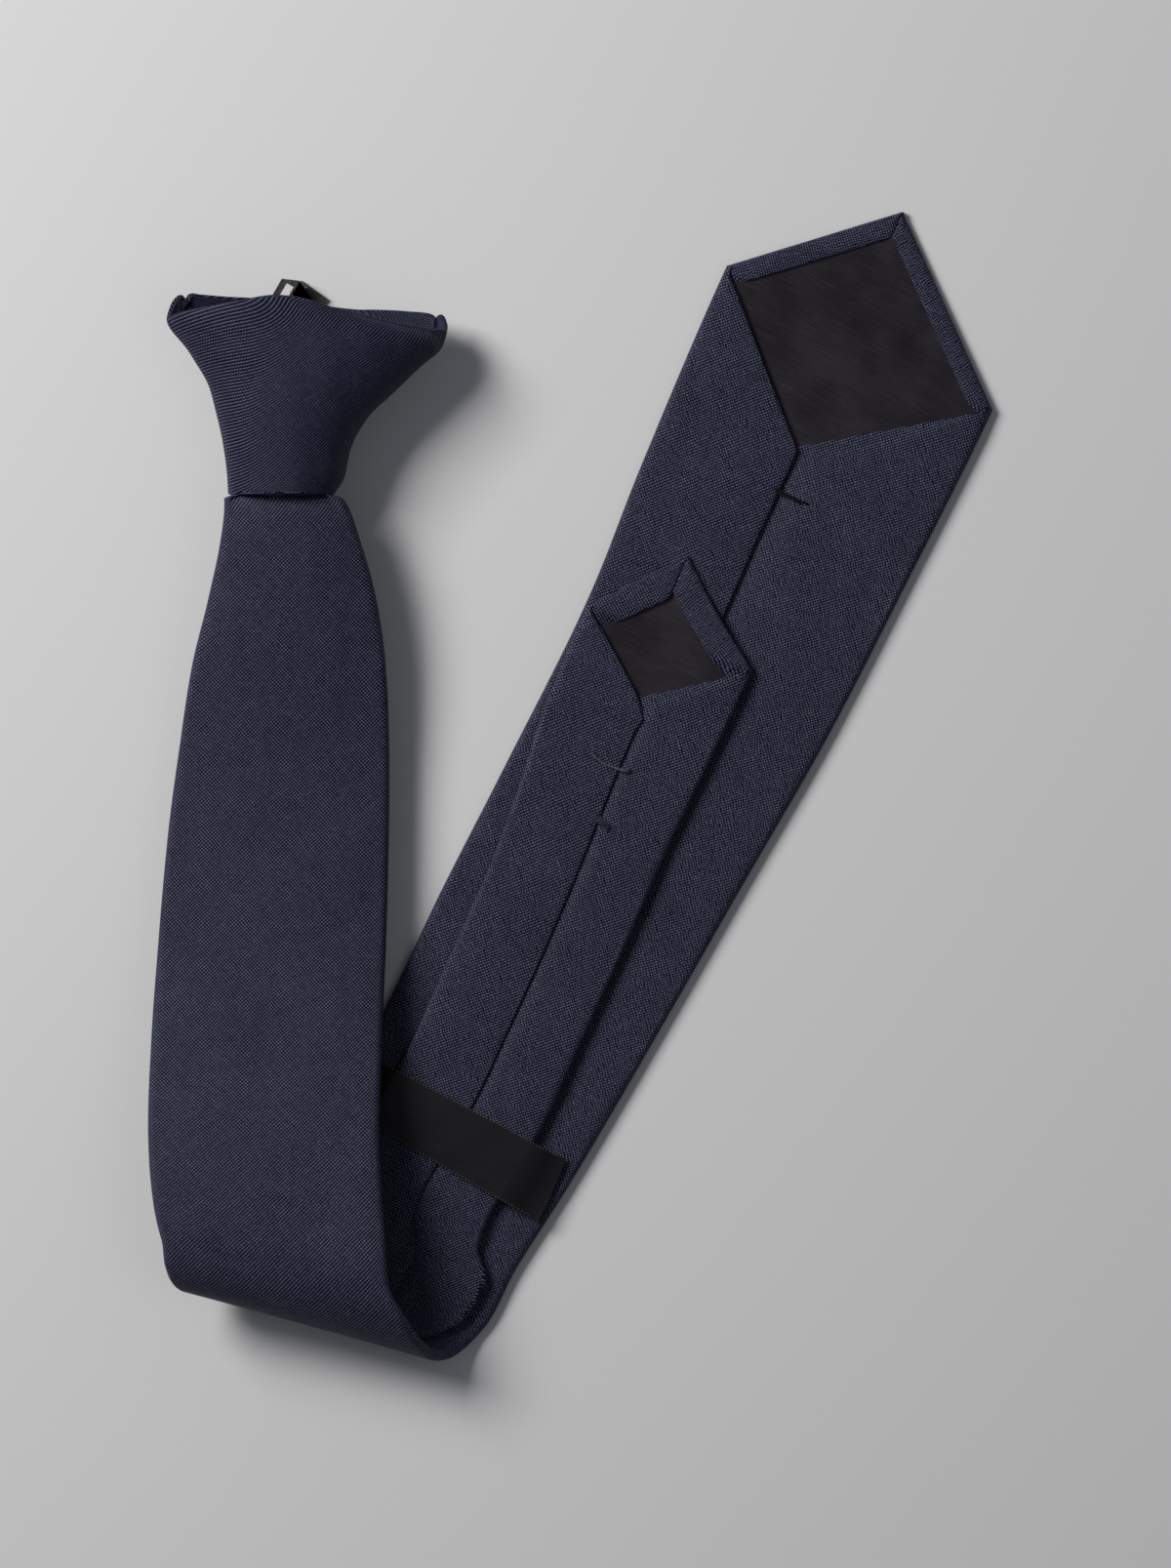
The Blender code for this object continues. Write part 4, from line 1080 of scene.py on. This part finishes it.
# Free edges of the flaps, each from the seam to its corner: (aside, back from the corners)
WIDE_LEFT_EDGE = ((-0.0022, 0.0311), (-0.0364, 0.0))
WIDE_RIGHT_EDGE = ((-0.0022, 0.0300), (0.0364, 0.0))
TAIL_LEFT_EDGE = ((-0.0079, 0.0205), (-0.0117, 0.0162), (-0.0326, 0.0))
TAIL_RIGHT_EDGE = ((-0.0117, 0.0162), (0.0100, 0.0))
TAIL_SKEW = 0.0022

wide = Blade(ribbon, ribbon.start, ribbon.corner, wide_outline, BLADE_THICKNESS, 0.0, BLADE_POINT,
             BLADE_POINT_ASIDE, BLADE_HEM, BLADE_SEAM_ASIDE, WIDE_LEFT_EDGE, WIDE_RIGHT_EDGE, 0.0)
tail_corner = ribbon.corner - TAIL_SHORT
tail_length = tail_corner - ribbon.start - 0.002
tail_rows = np.array(TAIL_LINE)
tail_places = tail_corner - tail_rows[::-1, 0] * tail_length
tail_values = tail_rows[::-1, 1:] * TAIL_WIDTH
tail_slopes = even_slopes(tail_places, tail_values)


def tail_outline(along):
    shape = np.shape(along)
    read = read_table(tail_places, tail_values, tail_slopes, np.ravel(along))
    return read[:, 0].reshape(shape), read[:, 1].reshape(shape)


tail = Blade(ribbon, ribbon.start + 0.002, tail_corner, tail_outline, TAIL_THICKNESS,
             BLADE_THICKNESS + GAP, TAIL_POINT, TAIL_POINT_ASIDE, TAIL_HEM, TAIL_SEAM_ASIDE,
             TAIL_LEFT_EDGE, TAIL_RIGHT_EDGE, TAIL_SKEW)

wide_piece = blade_cloth("wide_cloth", wide, navy, 3, 1.0)
tail_piece = blade_cloth("tail_cloth", tail, navy, 8, 0.3)
wide_lining = tipping_cloth("wide_lining", wide, lining, 5, 1.9)
tail_lining = tipping_cloth("tail_lining", tail, lining, 6, 2.8)
knot_piece = knot_cloth(navy_knot, shift)
label_piece, label_start, label_surface = label_cloth(ribbon, tail, woven)

for piece, replaced, name in (
    (wide_piece, "wide_blade", "navy_cloth"),
    (tail_piece, "tail_blade", "navy_cloth"),
    (wide_lining, "wide_tipping", "tipping_satin"),
    (tail_lining, "tail_tipping", "tipping_satin"),
    (knot_piece, "knot", "navy_cloth"),
    (label_piece, "keeper_label", "label_satin"),
):
    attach(piece, "tie")
    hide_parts(replaced)

# Stitches, as paths on the blades
NEAR = 0.0034                   # the photograph's measured line starts this much sooner


def stitch(blade_top, start, end, count=7, sag=0.0, bow=0.0):
    """Points of a thread between two (aside, along) places, lying at that depth."""
    share = np.linspace(0, 1, count)
    aside = start[0] + (end[0] - start[0]) * share + bow * np.sin(share * math.pi)
    along = start[1] + (end[1] - start[1]) * share - sag * np.sin(share * math.pi)
    ends = np.where((share == 0) | (share == 1), -0.0006, 0.0)
    return ribbon.place(along - NEAR, aside, blade_top + ends)


wide_top = BLADE_THICKNESS
tail_top = BLADE_THICKNESS + GAP + TAIL_THICKNESS
tacks = []
for begin, finish in (((-0.0048, 0.4644), (0.0055, 0.4646)), ((-0.0036, 0.4634), (0.0059, 0.4649)),
                      ((-0.0041, 0.4640), (0.0045, 0.4640))):
    tacks.append(stitch(wide_top + 0.0003, begin, finish, 9))
tack_piece = tubes("wide_tack", tacks, 0.00019, dark_thread)
small = []
for i in range(4):
    shift_along = (i - 1.5) * 0.00042
    small.append(stitch(tail_top + 0.00025, (-0.0065, 0.3742 + shift_along),
                        (-0.0021, 0.3730 + shift_along), 7))
small_piece = tubes("tail_tack", small, 0.00017, navy_thread)
loose = [stitch(tail_top + 0.00055, (-0.0149, 0.3871), (-0.0048, 0.3882), 15, sag=0.0011)]
loose.append(stitch(tail_top + 0.00060, (-0.0090, 0.3868), (-0.0049, 0.3876), 9, sag=0.0003))
loose_piece = tubes("loose_thread", loose, 0.00022, pale_thread)
for piece in (tack_piece, small_piece, loose_piece):
    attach(piece, "tie")

# Edge stitches of the keeper, along both its long edges
edge_paths = []
for i in range(56):
    aside = -LABEL_LENGTH / 2 + 0.0014 + i * 0.00092
    for row, inward in ((1.0, -0.0003), (0.0, 0.0003)):
        reach_here, turned = label_lines(aside, row)
        edge = label_start + LABEL_HEIGHT * row + turned
        a = label_surface(reach_here, edge + inward, 0.00010)
        b = label_surface(reach_here + 0.00048, edge, -0.00005)
        edge_paths.append([a, (a + b) / 2 + np.array((0, 0, 0.00006)), b])
edge_piece = tubes("label_edge", edge_paths, 0.00012, edge_thread, 6)
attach(edge_piece, "tie")

dressed_node("clip_base", gunmetal, bright, "tie", CLIP_BEVEL)
dressed_node("clip_lever", gunmetal, bright, "lever", CLIP_BEVEL)
dressed_node("clip_pin", bright, bright, "tie", CLIP_BEVEL / 2)


def blade_cut(blade):
    """Flat size and area of a blade's cloth, drawn from the sizes above and no mesh."""
    shut = np.linspace(blade.start, blade.flap_start, 400)
    # The front, two sides, two flaps lapped at the seam and their turned-in edges
    girth = 4 * blade.outline(shut)[1] + 2 * blade.thickness + UNDERLAP + 2 * TUCK
    back = blade.corner - blade.flap_start
    free_edge = math.hypot(blade.half, back)
    hem_edge = math.hypot(blade.half, blade.point)
    area = float(np.mean(girth)) * (blade.flap_start - blade.start)
    area += back * (3 * blade.half + 2 * blade.thickness) + 2 * TUCK * free_edge
    area += blade.half * blade.point + 2 * (blade.thickness + blade.hem + TUCK) * hem_edge
    length = blade.tip - blade.start + blade.thickness + blade.hem + TUCK
    return (round(float(np.max(girth)), 4), round(float(length), 4)), round(float(area), 5)


def lining_cut(blade):
    """Flat size and area of a lining: the opening, and what reaches under all round."""
    along = np.linspace(blade.flap_start, blade.tip - blade.hem, 400)
    left, right = blade.opening(along)
    width = np.maximum(right - left + 2 * LINING_UNDER, 0.0)
    length = blade.tip - blade.hem - blade.flap_start
    area = float(np.mean(width)) * length
    return (round(float(np.max(width)), 4), round(float(length), 4)), round(float(area), 5)


def knot_cut():
    """Flat size and area of the knot's cloth unrolled, one thickness of it."""
    outline = np.array(KNOT_OUTLINE)
    rise = np.linspace(0.0, 1.0, 60)
    slopes = even_slopes(outline[:, 0], outline[:, 1:])
    edges = read_table(outline[:, 0], outline[:, 1:], slopes, rise)
    half = (edges[:, 1] - edges[:, 0]) * KNOT_WIDTH / 2
    depth = KNOT_DEPTH_EXIT + (KNOT_DEPTH_TOP - KNOT_DEPTH_EXIT) * np.sin(rise * math.pi / 2)
    quarter = np.linspace(0.0, math.pi / 2, 121)[None, :]
    girth = np.zeros_like(half)
    for power, share in ((KNOT_FRONT_POWER, 1 - KNOT_EDGE_SHARE), (KNOT_BACK_POWER, KNOT_EDGE_SHARE)):
        x = half[:, None] * np.cos(quarter) ** (2 / power)
        z = (share * depth)[:, None] * np.sin(quarter) ** (2 / power)
        girth += 2 * np.hypot(np.diff(x, axis=1), np.diff(z, axis=1)).sum(axis=1)
    length = math.hypot(KNOT_HEIGHT, (half[-1] - half[0]) / 2)
    area = float(np.mean(girth)) * length
    return (round(float(np.max(girth)), 4), round(length, 4)), round(area, 5)


for piece, cut, held, on in (
    (wide_piece, blade_cut(wide), "folded", []),
    (tail_piece, blade_cut(tail), "folded", ["wide_cloth"]),
    (wide_lining, lining_cut(wide), "laid", ["wide_cloth"]),
    (tail_lining, lining_cut(tail), "laid", ["tail_cloth"]),
    (knot_piece, knot_cut(), "folded", ["clip_base_worn"]),
):
    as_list(on)

# Floor, light and camera
floor_mesh = bmesh.new()
bmesh.ops.create_grid(floor_mesh, x_segments=1, y_segments=1, size=3.0)
floor_data = bpy.data.meshes.new("floor")
floor_mesh.to_mesh(floor_data)
floor_mesh.free()
floor = bpy.data.objects.new("floor", floor_data)
bpy.context.scene.collection.objects.link(floor)
floor_finish = shader_of("floor_paper", Roughness=0.85, Base_Color=(0.62, 0.62, 0.63, 1.0))[0]
floor_data.materials.append(floor_finish)

world = bpy.data.worlds.new("studio")
bpy.context.scene.world = world
world.use_nodes = True
world.node_tree.nodes["Background"].inputs[0].default_value = (0.86, 0.90, 1.0, 1.0)
world.node_tree.nodes["Background"].inputs[1].default_value = 0.13


def area_light(name, place, aim, size, power, colour):
    lamp = bpy.data.lights.new(name, "AREA")
    lamp.shape = "SQUARE"
    lamp.size = size
    lamp.energy = power
    lamp.color = colour
    made = bpy.data.objects.new(name, lamp)
    bpy.context.scene.collection.objects.link(made)
    made.location = place
    made.rotation_mode = "QUATERNION"
    made.rotation_quaternion = (Vector(aim) - Vector(place)).to_track_quat("-Z", "Y")
    return made


area_light("key", (-0.95, 0.66, 0.92), (0.0, 0.0, 0.0), 0.60, 25.0, (1.0, 0.985, 0.96))
area_light("fill", (0.7, -0.3, 1.5), (0.0, 0.0, 0.0), 0.9, 1.2, (0.92, 0.95, 1.0))

camera_data = bpy.data.cameras.new("camera")
camera_data.sensor_fit = "VERTICAL"
camera_data.sensor_height = 24.0
camera_data.sensor_width = 24.0
camera_data.lens = 600.0
pixel = 0.000235
distance = 1607 * pixel / 24.0 * 600.0
camera_data.clip_start = 0.5
camera_data.clip_end = 40.0
camera = bpy.data.objects.new("camera", camera_data)
bpy.context.scene.collection.objects.link(camera)
camera.location = (shift[0] + (600 - 293) * pixel, shift[1] - (803.5 - 505) * pixel, distance)
camera.rotation_euler = (0.0, 0.0, 0.0)
bpy.context.scene.camera = camera
bpy.context.scene.view_settings.view_transform = "Standard"
